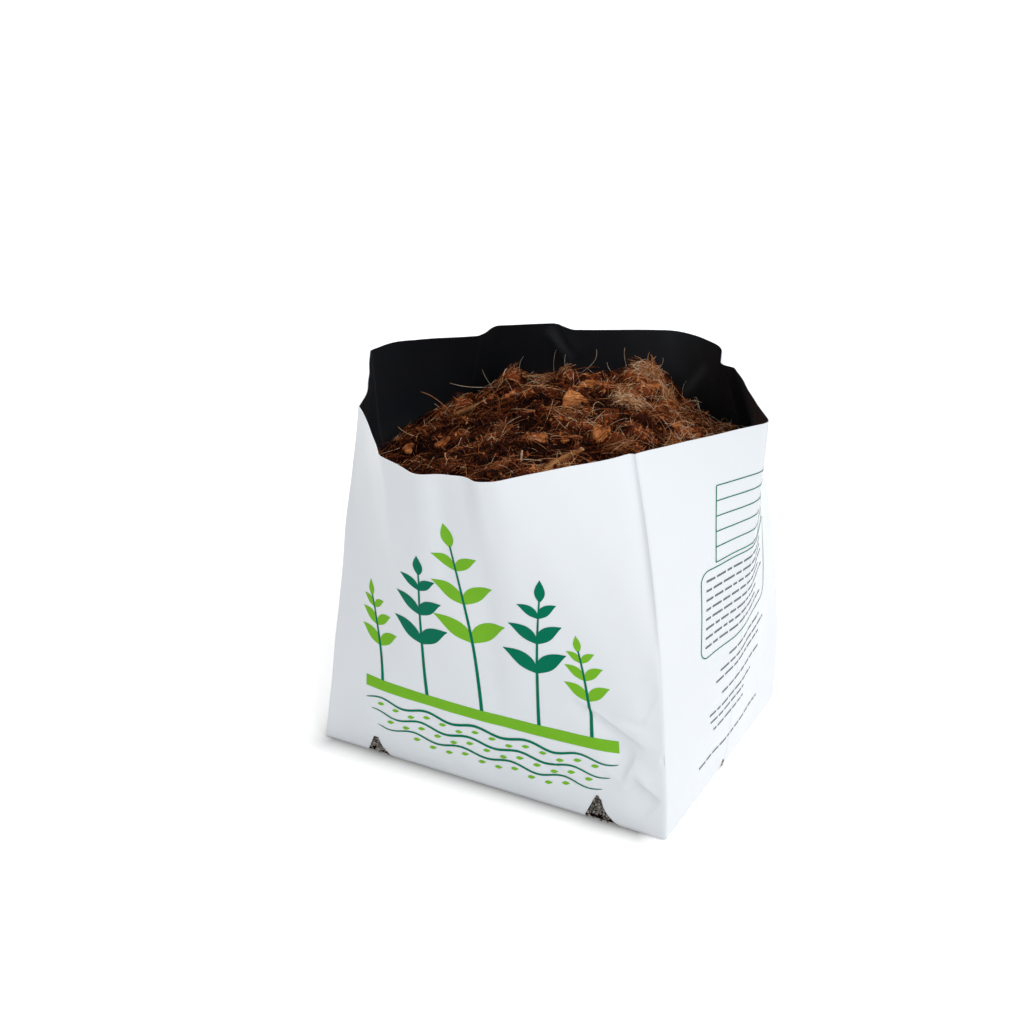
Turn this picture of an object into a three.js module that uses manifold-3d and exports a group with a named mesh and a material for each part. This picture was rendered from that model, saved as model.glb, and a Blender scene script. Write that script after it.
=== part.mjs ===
// Compost bag: an open-topped, side-gusseted film bag that stands on its flat base, filled with loose coir.
// Millimetres, +Z up, the printed front faces -Y, the origin is the middle of the underside.

import * as THREE from "three";
import { mergeVertices } from "three/addons/utils/BufferGeometryUtils.js";
import Module from "manifold-3d";

const wasm = await Module();
wasm.setup();

// Driving dimensions of the film
const BAG_WIDTH = 200; // base, left to right
const BAG_DEPTH = 150; // base, front to back
const BAG_HEIGHT = 200; // film from the base fold to the cut rim
const FILM = 0.4; // wall thickness
const BASE_TURN = 1.6; // inside radius of the fold between base and walls
const RIM_DIP = 3; // power by which a dip of the rim fades towards the base

// Fit between the film, the coir and the pieces lying in it
const CLEARANCE = 0.3;

// Heap of coir, measured from the rim
const HEADSPACE = 26; // rim to the crest of the heap
const HEAP_FALL = 25; // drop of the heap half a bag width from its crest line
const HEAP_CREST_X = 10; // the crest line runs front to back at this x
const CLODS = 72; // loose clods spread over the heap
const CLOD_SPREAD = 108; // radius of the round that the clods cover
const CLOD_MIDDLE_Y = -8;
const CLOD_RISE = [1.2, 3.6]; // lowest and highest clod
const CLOD_REACH = [5, 8.5]; // narrowest and widest clod

// Resolution of the surfaces
const STATION_STEP = 14; // longest facet round the bag
const STATION_GAP = 4; // stations nearer than this become one
const WALL_ROWS = 10; // rows of facets up the wall
const HEAP_SPOKES = 72; // facets round the heap
const HEAP_RINGS = 18; // facets from its edge to its middle
const CHIP_SIDES = 9;
const TANGENT_STEP = 0.5; // half the length of film over which its direction is taken

const PERIMETER = 2 * (BAG_WIDTH + BAG_DEPTH);
const FILL_GAP = FILM + CLEARANCE; // from the film's outer face to the coir
const TURN_TOP = FILM + BASE_TURN; // height at which the wall starts above the base fold
const GOLDEN_SHARE = (Math.sqrt(5) - 1) / 2;
const GOLDEN_ANGLE = 2 * Math.PI * (1 - GOLDEN_SHARE);

// The base outline, walked from the front left corner with the inside on the left hand
const EDGES = {
  front: { x: -BAG_WIDTH / 2, y: -BAG_DEPTH / 2, dx: 1, dy: 0, first: 0 },
  right: { x: BAG_WIDTH / 2, y: -BAG_DEPTH / 2, dx: 0, dy: 1, first: BAG_WIDTH },
  back: { x: BAG_WIDTH / 2, y: BAG_DEPTH / 2, dx: -1, dy: 0, first: BAG_WIDTH + BAG_DEPTH },
  left: { x: -BAG_WIDTH / 2, y: BAG_DEPTH / 2, dx: 0, dy: -1, first: 2 * BAG_WIDTH + BAG_DEPTH },
};

// A fold or soft bend that runs from the base up to the rim. It starts `at` along a base edge, its rim
// end stands `out` from its base point and `dip` below the cut height, `lean` is the power by which it
// moves over on the way up, and `turn` is half the length of film that bends there, at base and rim.
function fold(edgeName, at, out, dip, lean, turn) {
  const edge = EDGES[edgeName];
  return {
    s: edge.first + at,
    base: new THREE.Vector2(edge.x + edge.dx * at, edge.y + edge.dy * at),
    out: new THREE.Vector2(...out),
    dip,
    lean,
    turn,
  };
}

const FOLDS = [
  fold("front", 0, [25, 7], 2, 1.0, [1.5, 4]), // front left corner
  fold("front", 30, [14, -12.5], 2, 1.2, [16, 12]), // hollow beside the corner
  fold("front", 59, [3, -36], 2, 1.4, [20, 4]), // turn into the bulge
  fold("front", BAG_WIDTH / 2 - 14, [1.5, -45], 2, 1.5, [20, 6]), // furthest forward
  fold("front", BAG_WIDTH / 2 + 9, [-0.6, -36.5], 2, 1.6, [12, 5]), // hollow of the ripple
  fold("front", BAG_WIDTH / 2 + 16, [-1, -39], 2, 1.6, [12, 3]), // crest of the ripple
  fold("front", BAG_WIDTH / 2 + 24, [-1.5, -35.5], 2, 1.6, [12, 5]), // turn into the flat stretch
  fold("right", 0, [-33.5, 22.5], 3, 1.8, [3, 6]), // front right corner
  fold("right", BAG_DEPTH / 2, [12, 4], 0, 0.8, [25, 7]), // middle crease of the right gusset
  fold("back", 0, [-30, -11], 3, 2.4, [3, 4]), // back right corner
  fold("back", 8, [-29, -12], 2, 2.4, [3, 4]), // tuck beside the corner
  fold("back", 32, [-12, 7.5], 1, 2.0, [12, 8]), // end of the tuck
  fold("back", 64, [-5, 18.5], 1, 2.0, [16, 14]), // furthest back
  fold("back", BAG_WIDTH / 2 - 6, [3, 7.5], 0, 2.0, [16, 16]), // soft bend of the back
  fold("back", BAG_WIDTH / 2 + 38, [13, -6], 2, 2.0, [12, 6]), // right side of the wedge crease
  fold("back", BAG_WIDTH / 2 + 51, [16, -5.5], 0, 2.0, [12, 5]), // left side of the wedge crease
  fold("back", BAG_WIDTH - 9, [27, -22], 1, 2.0, [3, 5]), // turn before the corner
  fold("left", 0, [32, -29], 5, 2.0, [3, 5]), // back left corner
  fold("left", BAG_DEPTH / 2 - 19, [0, -12], 0, 1.5, [25, 12]), // bulge behind the crease
  fold("left", BAG_DEPTH / 2, [-4, -9], 0, 1.5, [25, 5]), // middle crease of the left gusset
  fold("left", BAG_DEPTH - 39, [12, -1], 0, 1.2, [25, 16]), // hollow in front of the crease
  fold("left", BAG_DEPTH - 18, [21, 4], 1, 1.0, [10, 10]), // turn before the front corner
];

// Dents pressed into the film: place along an edge and up the wall, half sizes and depth
const DENTS = [
  { s: EDGES.front.first + BAG_WIDTH - 22, h: 46, across: 9, up: 8, depth: 1.6 },
  { s: EDGES.front.first + BAG_WIDTH - 36, h: 68, across: 12, up: 7, depth: 1.3 },
  { s: EDGES.front.first + BAG_WIDTH - 15, h: 27, across: 8, up: 6, depth: -1.2 },
];

// Drainage notches punched through the base fold: middle along the edge, width and height
const NOTCH_LEAN = 0.17; // the tip stands this share of the width before the middle
const NOTCH_TIP = 0.16; // width of the blunt tip, as a share of the notch
const NOTCH_UNDER = 8; // how far a notch runs in under the base
const NOTCH_OUT = 12; // how far the punch stands out in front of the wall
const NOTCHES = [
  { edge: "front", at: 36, width: 18, height: 11 },
  { edge: "front", at: BAG_WIDTH - 34, width: 23, height: 13.5 },
  { edge: "right", at: BAG_DEPTH / 2, width: 13, height: 5 },
  { edge: "back", at: 34, width: 23, height: 13.5 },
  { edge: "back", at: BAG_WIDTH - 36, width: 18, height: 11 },
  { edge: "left", at: BAG_DEPTH / 2, width: 13, height: 5 },
];

// Large clumps and hollows of the heap: place, rise and reach
const CLUMPS = [
  { x: -53, y: 54, rise: 8, reach: 9 },
  { x: -32, y: 70, rise: 4, reach: 7 },
  { x: 8, y: 78, rise: 4, reach: 14 },
  { x: 21, y: 84, rise: 6, reach: 6 },
  { x: 56, y: 80, rise: -13, reach: 12 },
  { x: 37, y: 84, rise: -3, reach: 6 },
  { x: -42, y: 61, rise: -5, reach: 5 },
  { x: -66, y: 54, rise: -3, reach: 6 },
  { x: -84, y: 30, rise: 3, reach: 16 },
  { x: -10, y: 76, rise: -2, reach: 9 },
  { x: -62, y: -20, rise: 4, reach: 14 },
  { x: 0, y: -75, rise: 6, reach: 30 },
  { x: 58, y: -8, rise: 4, reach: 18 },
  { x: -18, y: 2, rise: 5, reach: 22 },
  { x: 34, y: 22, rise: 5, reach: 18 },
];

// Husk chips lying in the heap: place, length, width, thickness, heading and tilt in degrees
const CHIPS = [
  { x: -6, y: 34, size: [14, 13, 3.5], heading: 20, tilt: 38 },
  { x: 1, y: -23, size: [14, 8, 3.5], heading: -10, tilt: 12 },
  { x: 12, y: -10, size: [16, 8, 3], heading: 35, tilt: 10 },
  { x: 25, y: -1, size: [12, 10, 7], heading: 70, tilt: 5 },
  { x: 41, y: 38, size: [10, 9, 8], heading: 15, tilt: 20 },
  { x: 36, y: 59, size: [11, 9, 3.5], heading: -40, tilt: 30 },
  { x: 20, y: 66, size: [18, 10, 4], heading: 15, tilt: 15 },
  { x: -6, y: 54, size: [14, 7, 3], heading: 25, tilt: 15 },
  { x: -66, y: -34, size: [9, 7, 3], heading: 55, tilt: 15 },
  { x: -50, y: -28, size: [14, 5, 3.5], heading: 80, tilt: 20 },
];

// Split sticks lying in the heap: middle, length, thickness at both ends, heading and bow
const STICKS = [
  { x: 22, y: -39, length: 38, thick: [4.6, 2.8], heading: 84, bow: 1.5 },
  { x: -64, y: 23, length: 20, thick: [3.4, 2.6], heading: 40, bow: 0.6 },
];

const CHIP_SINK = 0.15; // a chip's middle lies this share of its thickness below the heap
const CHIP_UNEVEN = 0.24; // how far a chip's outline draws in, as a share of its size
const CHIP_LAYERS = [
  [-0.5, 0.7],
  [-0.1, 1],
  [0.2, 0.95],
  [0.5, 0.64],
]; // level and spread of a chip's outline through its thickness
const STICK_SINK = 0.2; // a stick's axis lies this share of its thickness below the heap
const STICK_RINGS = 8;
const STICK_SIDES = 8;

// Fold number k, counted on past the last one, at a height of the film
function foldAt(k, h) {
  const turns = Math.floor(k / FOLDS.length);
  const f = FOLDS[k - turns * FOLDS.length];
  const rise = h / BAG_HEIGHT;
  const over = Math.max(rise, 0) ** f.lean;
  return {
    s: f.s + turns * PERIMETER,
    point: new THREE.Vector3(
      f.base.x + f.out.x * over,
      f.base.y + f.out.y * over,
      h - f.dip * rise ** RIM_DIP,
    ),
    turn: THREE.MathUtils.lerp(f.turn[0], f.turn[1], rise),
  };
}

// Change of position per length of film from one fold to the next
function run(a, b) {
  return b.point.clone().sub(a.point).divideScalar(b.s - a.s);
}

// Point of the film's outer face at distance s round the base outline and height h up the film:
// straight from fold to fold, with a parabola over the length of film that turns at each fold
function sectionPoint(s, h) {
  const around = ((s % PERIMETER) + PERIMETER) % PERIMETER;
  const k = FOLDS.findLastIndex((f) => f.s <= around);
  const corners = [k - 1, k, k + 1, k + 2].map((i) => foldAt(i, h));
  const point = corners[1].point.clone();
  point.addScaledVector(run(corners[1], corners[2]), around - corners[1].s);
  for (const i of [1, 2]) {
    const [before, corner, after] = corners.slice(i - 1, i + 2);
    const room = Math.min(corner.s - before.s, after.s - corner.s) / 2;
    const turn = Math.min(corner.turn, room);
    const away = Math.abs(around - corner.s);
    if (away < turn) {
      const bend = run(corner, after).sub(run(before, corner));
      point.addScaledVector(bend, (turn - away) ** 2 / (4 * turn));
    }
  }
  return point;
}

// Depth of the dents at a place on the film
function dentDepth(s, h) {
  let depth = 0;
  for (const dent of DENTS) {
    const across = (s - dent.s) / dent.across;
    const up = (h - dent.h) / dent.up;
    depth += dent.depth * Math.exp(-(across ** 2) - up ** 2);
  }
  return depth;
}

// Point at a place on the film, moved `inset` to the inside
function wallPoint(s, h, inset) {
  const ahead = sectionPoint(s + TANGENT_STEP, h);
  const along = ahead.sub(sectionPoint(s - TANGENT_STEP, h)).setZ(0).normalize();
  const inward = new THREE.Vector3(-along.y, along.x, 0);
  return sectionPoint(s, h).addScaledVector(inward, inset + dentDepth(s, h));
}

// Stations round the film: at each fold, where its bend begins and ends, and between at even steps
function filmStations() {
  const marks = [];
  for (const f of FOLDS) {
    marks.push(f.s, f.s - f.turn[1], f.s + f.turn[1]);
  }
  const sorted = marks.map((s) => (s + PERIMETER) % PERIMETER).sort((a, b) => a - b);
  const kept = sorted.filter((s, i) => i === 0 || s - sorted[i - 1] >= STATION_GAP);
  const stations = [];
  kept.forEach((s, i) => {
    const next = i + 1 < kept.length ? kept[i + 1] : PERIMETER;
    const steps = Math.ceil((next - s) / STATION_STEP);
    for (let j = 0; j < steps; j += 1) {
      stations.push(s + ((next - s) * j) / steps);
    }
  });
  return stations;
}

const STATIONS = filmStations();

// One closed ring of points at a height of the film
function wallRing(h, inset) {
  return STATIONS.map((s) => wallPoint(s, h, inset));
}

// Rings from the base, round its fold and up to the rim, of a face that lies `gap` inside the film's
// outer face
function wallFace(gap) {
  const radius = TURN_TOP - gap;
  const turn = [0, Math.PI / 4].map((angle) =>
    wallRing(gap + radius * (1 - Math.cos(angle)), gap + radius * (1 - Math.sin(angle))),
  );
  const wall = Array.from({ length: WALL_ROWS + 1 }, (_, i) =>
    wallRing(THREE.MathUtils.lerp(TURN_TOP, BAG_HEIGHT, i / WALL_ROWS), gap),
  );
  return [...turn, ...wall];
}

// Closed surface through a stack of rings, with a point that closes each end. Each facet is split from
// its lower left to its upper right corner, so that faces lying side by side have the same facets.
function loft(rings, firstPole, lastPole) {
  const count = rings[0].length;
  const points = [firstPole, ...rings.flat(), lastPole];
  const last = points.length - 1;
  const index = [];
  for (let i = 0; i < count; i += 1) {
    const next = (i + 1) % count;
    index.push(0, 1 + next, 1 + i);
    for (let r = 0; r + 1 < rings.length; r += 1) {
      const [a, b] = [1 + r * count + i, 1 + r * count + next];
      const [c, d] = [a + count, b + count];
      const rises = rings[r + 1][i].z >= rings[r][i].z;
      index.push(...(rises ? [a, b, d, a, d, c] : [a, b, c, b, d, c]));
    }
    const top = 1 + (rings.length - 1) * count;
    index.push(last, top + i, top + next);
  }
  const geometry = new THREE.BufferGeometry().setFromPoints(points);
  geometry.setIndex(index);
  return geometry;
}

// Closed indexed geometry to a solid that can be cut, and back
function solidOf(geometry) {
  return new wasm.Manifold(
    new wasm.Mesh({
      numProp: 3,
      vertProperties: new Float32Array(geometry.attributes.position.array),
      triVerts: new Uint32Array(geometry.index.array),
    }),
  );
}

function geometryOf(solid) {
  const mesh = solid.getMesh();
  const geometry = new THREE.BufferGeometry();
  geometry.setAttribute("position", new THREE.BufferAttribute(mesh.vertProperties, 3));
  geometry.setIndex(new THREE.BufferAttribute(mesh.triVerts, 1));
  return geometry;
}

// Geometry with its shared corners joined
function welded(geometry) {
  geometry.deleteAttribute("normal");
  geometry.deleteAttribute("uv");
  return mergeVertices(geometry);
}

// The punch for one drainage notch: a leaning triangle with a straight flank, a blunt tip and a
// hollow flank, as deep as the wall and the strip of base that it goes through
function notchPunch({ edge: edgeName, at, width, height }) {
  const edge = EDGES[edgeName];
  const tip = -NOTCH_LEAN * width;
  const blunt = (NOTCH_TIP * width) / 2;
  const outline = new THREE.Shape();
  outline.moveTo(-width / 2, -height);
  outline.lineTo(width / 2, -height);
  outline.lineTo(width / 2, 0);
  outline.quadraticCurveTo(tip + 2 * blunt, height / 4, tip + blunt, height);
  outline.lineTo(tip - blunt, height);
  outline.lineTo(-width / 2, 0);
  outline.closePath();
  const geometry = new THREE.ExtrudeGeometry(outline, {
    depth: NOTCH_UNDER + NOTCH_OUT,
    bevelEnabled: false,
    curveSegments: 5,
  });
  const along = new THREE.Vector3(edge.dx, edge.dy, 0);
  const up = new THREE.Vector3(0, 0, 1);
  const outward = new THREE.Vector3().crossVectors(along, up);
  const place = new THREE.Matrix4().makeBasis(along, up, outward);
  place.setPosition(edge.x + edge.dx * at, edge.y + edge.dy * at, 0);
  geometry.translate(0, 0, -NOTCH_UNDER).applyMatrix4(place);
  return solidOf(welded(geometry));
}

// The film: up the outside, over the rim, down the inside and across the base, less the notches
function filmBag() {
  const rings = [...wallFace(0), ...wallFace(FILM).reverse()];
  const shell = loft(rings, new THREE.Vector3(), new THREE.Vector3(0, 0, FILM));
  return NOTCHES.reduce((film, notch) => film.subtract(notchPunch(notch)), solidOf(shell));
}

// Small clods and hollows, spread evenly over the heap on a spiral
function clods() {
  return Array.from({ length: CLODS }, (_, i) => {
    const radius = CLOD_SPREAD * Math.sqrt((i + 0.5) / CLODS);
    const rise = THREE.MathUtils.lerp(...CLOD_RISE, (i * GOLDEN_SHARE) % 1);
    return {
      x: radius * Math.cos(i * GOLDEN_ANGLE),
      y: radius * Math.sin(i * GOLDEN_ANGLE) + CLOD_MIDDLE_Y,
      rise: i % 3 === 0 ? -rise : rise,
      reach: THREE.MathUtils.lerp(...CLOD_REACH, (i * Math.SQRT2) % 1),
    };
  });
}

const LUMPS = [...CLUMPS, ...clods()];

// Height of the heap: a ridge from front to back, with a rounded rise or hollow at each lump
function heapTop(x, y) {
  const ridge = HEAP_FALL * ((x - HEAP_CREST_X) / (BAG_WIDTH / 2)) ** 2;
  return LUMPS.reduce((z, lump) => {
    const away = (x - lump.x) ** 2 + (y - lump.y) ** 2;
    return z + lump.rise * Math.exp(-away / (2 * lump.reach ** 2));
  }, BAG_HEIGHT - HEADSPACE - ridge);
}

// Everything under the heap's surface, in a round that stands clear of the film
function underHeap() {
  const round = Math.hypot(BAG_WIDTH, BAG_DEPTH) / 2;
  const spokes = Array.from({ length: HEAP_SPOKES }, (_, i) => (2 * Math.PI * i) / HEAP_SPOKES);
  const rings = [spokes.map((a) => new THREE.Vector3(round * Math.cos(a), round * Math.sin(a), -round))];
  for (let ring = 0; ring < HEAP_RINGS; ring += 1) {
    const radius = round * (1 - ring / HEAP_RINGS);
    rings.push(
      spokes.map((a) => {
        const x = radius * Math.cos(a);
        const y = radius * Math.sin(a);
        return new THREE.Vector3(x, y, heapTop(x, y));
      }),
    );
  }
  return solidOf(loft(rings, new THREE.Vector3(0, 0, -round), new THREE.Vector3(0, 0, heapTop(0, 0))));
}

// The coir: the room inside the film, up to the heap's surface
function coirFill() {
  const under = new THREE.Vector3(0, 0, FILL_GAP);
  const above = new THREE.Vector3(0, 0, BAG_HEIGHT);
  return solidOf(loft(wallFace(FILL_GAP), under, above)).intersect(underHeap());
}

// A husk chip: a flat shard with an uneven outline, widest near its middle and tilted on the heap.
// `grown` is added on every side, for the pocket that it lies in.
function huskChip({ x, y, size, heading, tilt }, grown) {
  const [length, width, thick] = size.map((side) => side + 2 * grown);
  const rings = CHIP_LAYERS.map(([level, spread]) =>
    Array.from({ length: CHIP_SIDES }, (_, i) => {
      const angle = (2 * Math.PI * i) / CHIP_SIDES;
      const uneven = 1 - CHIP_UNEVEN * ((i * GOLDEN_SHARE + Math.abs(x) * GOLDEN_SHARE) % 1);
      return new THREE.Vector3(
        (Math.cos(angle) * length * spread * uneven) / 2,
        (Math.sin(angle) * width * spread * uneven) / 2,
        level * thick,
      );
    }),
  );
  const half = new THREE.Vector3(0, 0, thick / 2);
  const geometry = loft(rings, half.clone().negate(), half);
  geometry.rotateX(THREE.MathUtils.degToRad(tilt));
  geometry.rotateZ(THREE.MathUtils.degToRad(heading));
  return geometry.translate(x, y, heapTop(x, y) - CHIP_SINK * size[2]);
}

// A split stick: a tapered, slightly bowed rod that follows the slope of the heap under it
function huskStick({ x, y, length, thick, heading, bow }, grown) {
  const turn = THREE.MathUtils.degToRad(heading);
  const reach = new THREE.Vector2(Math.cos(turn), Math.sin(turn)).multiplyScalar(length / 2);
  const start = heapTop(x - reach.x, y - reach.y);
  const end = heapTop(x + reach.x, y + reach.y);
  const rings = Array.from({ length: STICK_RINGS + 1 }, (_, r) => {
    const share = r / STICK_RINGS;
    const radius = THREE.MathUtils.lerp(...thick, share) / 2 + grown;
    const aside = bow * (1 - (2 * share - 1) ** 2);
    return Array.from({ length: STICK_SIDES }, (__, i) => {
      const angle = (2 * Math.PI * i) / STICK_SIDES;
      return new THREE.Vector3(
        (share - 0.5) * (length + 2 * grown),
        aside + radius * Math.cos(angle),
        radius * Math.sin(angle),
      );
    });
  });
  const tip = new THREE.Vector3(length / 2 + grown, 0, 0);
  const geometry = loft(rings, tip.clone().negate(), tip);
  geometry.rotateY(-Math.atan2(end - start, length));
  geometry.rotateZ(turn);
  return geometry.translate(x, y, (start + end) / 2 - STICK_SINK * thick[0]);
}

const filmWhite = new THREE.MeshStandardMaterial({ color: 0xe9ecf2, roughness: 0.32, metalness: 0 });
const coirBrown = new THREE.MeshStandardMaterial({ color: 0x5a2f1a, roughness: 0.95, metalness: 0 });
const huskOrange = new THREE.MeshStandardMaterial({ color: 0xa8673a, roughness: 0.85, metalness: 0 });
const stickTan = new THREE.MeshStandardMaterial({ color: 0xb08a5a, roughness: 0.8, metalness: 0 });

const compostBag = new THREE.Group();

function addPiece(name, geometry, material) {
  geometry.computeVertexNormals();
  const piece = new THREE.Mesh(geometry, material.clone());
  piece.name = name;
  compostBag.add(piece);
}

addPiece("film_bag", geometryOf(filmBag()), filmWhite);

let fill = coirFill();
const numbered = (name, i) => `${name}_${String(i + 1).padStart(2, "0")}`;
CHIPS.forEach((chip, i) => {
  fill = fill.subtract(solidOf(huskChip(chip, CLEARANCE)));
  addPiece(numbered("husk_chip", i), huskChip(chip, 0), huskOrange);
});
STICKS.forEach((stick, i) => {
  fill = fill.subtract(solidOf(huskStick(stick, CLEARANCE)));
  addPiece(numbered("husk_stick", i), huskStick(stick, 0), stickTan);
});
addPiece("coir_fill", geometryOf(fill), coirBrown);

export default compostBag;
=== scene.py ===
import bpy
import numpy as np
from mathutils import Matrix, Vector


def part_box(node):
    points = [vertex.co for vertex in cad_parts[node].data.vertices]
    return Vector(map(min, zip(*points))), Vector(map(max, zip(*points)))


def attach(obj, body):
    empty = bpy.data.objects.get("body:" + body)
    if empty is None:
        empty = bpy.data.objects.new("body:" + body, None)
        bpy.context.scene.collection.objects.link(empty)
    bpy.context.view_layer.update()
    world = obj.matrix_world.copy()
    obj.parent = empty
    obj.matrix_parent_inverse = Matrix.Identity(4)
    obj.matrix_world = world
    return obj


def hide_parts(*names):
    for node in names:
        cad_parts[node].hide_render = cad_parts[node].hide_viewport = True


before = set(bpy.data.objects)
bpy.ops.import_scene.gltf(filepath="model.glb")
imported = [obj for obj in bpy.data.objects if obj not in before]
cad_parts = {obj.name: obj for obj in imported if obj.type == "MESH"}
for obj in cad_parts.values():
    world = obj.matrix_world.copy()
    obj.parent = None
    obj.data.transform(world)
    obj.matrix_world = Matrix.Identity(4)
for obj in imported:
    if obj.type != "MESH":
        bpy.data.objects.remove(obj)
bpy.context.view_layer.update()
mm = 0.001  # every length below is in millimetres until it goes into a mesh
print("frame loaded with", len(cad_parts), "nodes")


# Shader maths: a socket that can stand in a Python expression. Each operator adds one Math node.
class Wire:
    def __init__(self, tree, socket):
        self.tree = tree
        self.socket = socket

    def combine(self, operation, first, second):
        node = self.tree.nodes.new("ShaderNodeMath")
        node.operation = operation
        for socket, value in zip(node.inputs, (first, second)):
            feed(self.tree, socket, value)
        return Wire(self.tree, node.outputs[0])

    def __add__(self, other):
        return self.combine("ADD", self, other)

    def __radd__(self, other):
        return self.combine("ADD", other, self)

    def __sub__(self, other):
        return self.combine("SUBTRACT", self, other)

    def __rsub__(self, other):
        return self.combine("SUBTRACT", other, self)

    def __mul__(self, other):
        return self.combine("MULTIPLY", self, other)

    def __rmul__(self, other):
        return self.combine("MULTIPLY", other, self)

    def __rpow__(self, other):
        return self.combine("POWER", other, self)


# Feeds a socket: with a link where the value is a wire, else with the value itself
def feed(tree, socket, value):
    if isinstance(value, Wire):
        tree.links.new(value.socket, socket)
    else:
        socket.default_value = value


# A socket by its number, its identifier or its name
def findSocket(node, key):
    if isinstance(key, int):
        return node.inputs[key]
    named = [s for s in node.inputs if s.identifier == key] + [s for s in node.inputs if s.name == key]
    return named[0]


# One material, or the world, and the nodes that make it
class Finish:
    def __init__(self, owner):
        owner.use_nodes = True
        self.owner = owner
        self.tree = owner.node_tree
        self.tree.nodes.clear()

    # Any node: its type, its settings, which are set first, and the values or links of its sockets
    def node(self, kind, settings=None, sockets=None, out=0):
        node = self.tree.nodes.new(kind)
        for key, value in (settings or {}).items():
            if key == "stops":
                ramp = node.color_ramp
                while len(ramp.elements) < len(value):
                    ramp.elements.new(1.0)
                for element, (place, colour) in zip(ramp.elements, value):
                    element.position = place
                    element.color = (*colour, 1.0)
            else:
                setattr(node, key, value)
        for key, value in (sockets or {}).items():
            feed(self.tree, findSocket(node, key), value)
        if isinstance(out, str):
            return Wire(self.tree, next(s for s in node.outputs if out in (s.identifier, s.name)))
        return Wire(self.tree, node.outputs[out]) if node.outputs else None

    def objectPlace(self):
        return self.node("ShaderNodeTexCoord", out="Object")

    def noise(self, vector, scale, detail=2.0, roughness=0.5):
        values = {"Vector": vector, "Scale": scale, "Detail": detail, "Roughness": roughness}
        return self.node("ShaderNodeTexNoise", None, values, "Fac")

    def vector(self, operation, *values):
        out = "Value" if operation == "LENGTH" else "Vector"
        return self.node("ShaderNodeVectorMath", {"operation": operation}, dict(enumerate(values)), out)

    def ramp(self, value, stops):
        return self.node("ShaderNodeValToRGB", {"stops": stops}, {"Fac": value}, "Color")

    def mixColour(self, factor, first, second):
        values = {"Factor_Float": factor, "A_Color": first, "B_Color": second}
        return self.node("ShaderNodeMix", {"data_type": "RGBA"}, values, "Result_Color")

    def attribute(self, name):
        return self.node("ShaderNodeAttribute", {"attribute_name": name}, None, "Fac")

    def bump(self, height, strength, distance):
        values = {"Height": height, "Strength": strength, "Distance": distance}
        return self.node("ShaderNodeBump", None, values)

    def surface(self, **sockets):
        values = {key.replace("_", " "): value for key, value in sockets.items()}
        shader = self.node("ShaderNodeBsdfPrincipled", None, values)
        self.node("ShaderNodeOutputMaterial", None, {"Surface": shader})
        return self.owner


def newFinish(name):
    return Finish(bpy.data.materials.new(name))


whiteFilm = {
    "clear": (0.84, 0.875, 0.915, 1),
    "cloudy": (0.785, 0.825, 0.87, 1),
    # grey of worn film along folds and creases, which also paints their shade
    "wearShadeSheenColour": (0.58, 0.61, 0.66, 1),
    "wearShadeShare": 0.4,
    "cloudScale": 11.0,
    "rough": (0.24, 0.12, 0.2),  # of clear film, and what clouds and wear add
    "pull": [(0.10, 55.0), (0.02, 420.0)],  # height in millimetres and scale of each noise
    "facets": (1.1, 75.0),  # the same of the crinkles
}


# White film: cloudy cool white, a little greyer and rougher along its folds and creases, where it is worn and
# where painted shade darkens the crease lines, with a faint pull all over and flat-sided crinkles where it
# was handled
def filmOutsideFinish():
    f = newFinish("filmOutside")
    place = f.objectPlace()
    cloud = f.noise(place, whiteFilm["cloudScale"], detail=3.0)
    wearShadeSheen = f.attribute("foldWear")
    white = f.mixColour(cloud, whiteFilm["clear"], whiteFilm["cloudy"])
    colour = f.mixColour(wearShadeSheen * whiteFilm["wearShadeShare"], white, whiteFilm["wearShadeSheenColour"])
    tall, scale = whiteFilm["facets"]
    facets = f.node("ShaderNodeTexVoronoi", None, {"Vector": place, "Scale": scale}, "Distance")
    broad, fine = [height * f.noise(place, size) for height, size in whiteFilm["pull"]]
    least, byCloud, byWear = whiteFilm["rough"]
    return f.surface(
        Base_Color=colour,
        Roughness=least + byCloud * cloud + byWear * wearShadeSheen,
        Normal=f.bump(broad + fine + tall * facets * f.attribute("crinkle"), 1.0, mm),
    )


blackFilm = {
    "clear": (0.0062, 0.0070, 0.0088, 1),
    "cloudy": (0.0118, 0.0131, 0.0160, 1),
    # painted sheen: paler black along the inside folds and creases
    "wearShadeSheenColour": (0.034, 0.037, 0.042, 1),
    "cloudScale": 16.0,
    "rough": (0.34, 0.16),  # of clear film, and what clouds add
    "pull": (0.15, 70.0),  # strength and scale of the noise
    "shine": 0.18,
}


# Black film: the same sheet seen from inside, paler along its folds and creases, a painted sheen that stands
# for light caught on them
def filmInsideFinish():
    f = newFinish("filmInside")
    place = f.objectPlace()
    cloud = f.noise(place, blackFilm["cloudScale"], detail=3.0)
    black = f.mixColour(cloud, blackFilm["clear"], blackFilm["cloudy"])
    strength, scale = blackFilm["pull"]
    least, byCloud = blackFilm["rough"]
    return f.surface(
        Base_Color=f.mixColour(f.attribute("foldWear"), black, blackFilm["wearShadeSheenColour"]),
        Roughness=least + byCloud * cloud,
        Normal=f.bump(f.noise(place, scale), strength, mm),
        Specular_IOR_Level=blackFilm["shine"],
    )


coirLook = {
    "speckle": 0.5,  # how far the noise moves a tone
    "rough": (0.62, 0.3),  # at least, and what the noise adds
    "relief": 0.4,  # height of the noise in millimetres
    "shine": 0.04,
}


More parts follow.
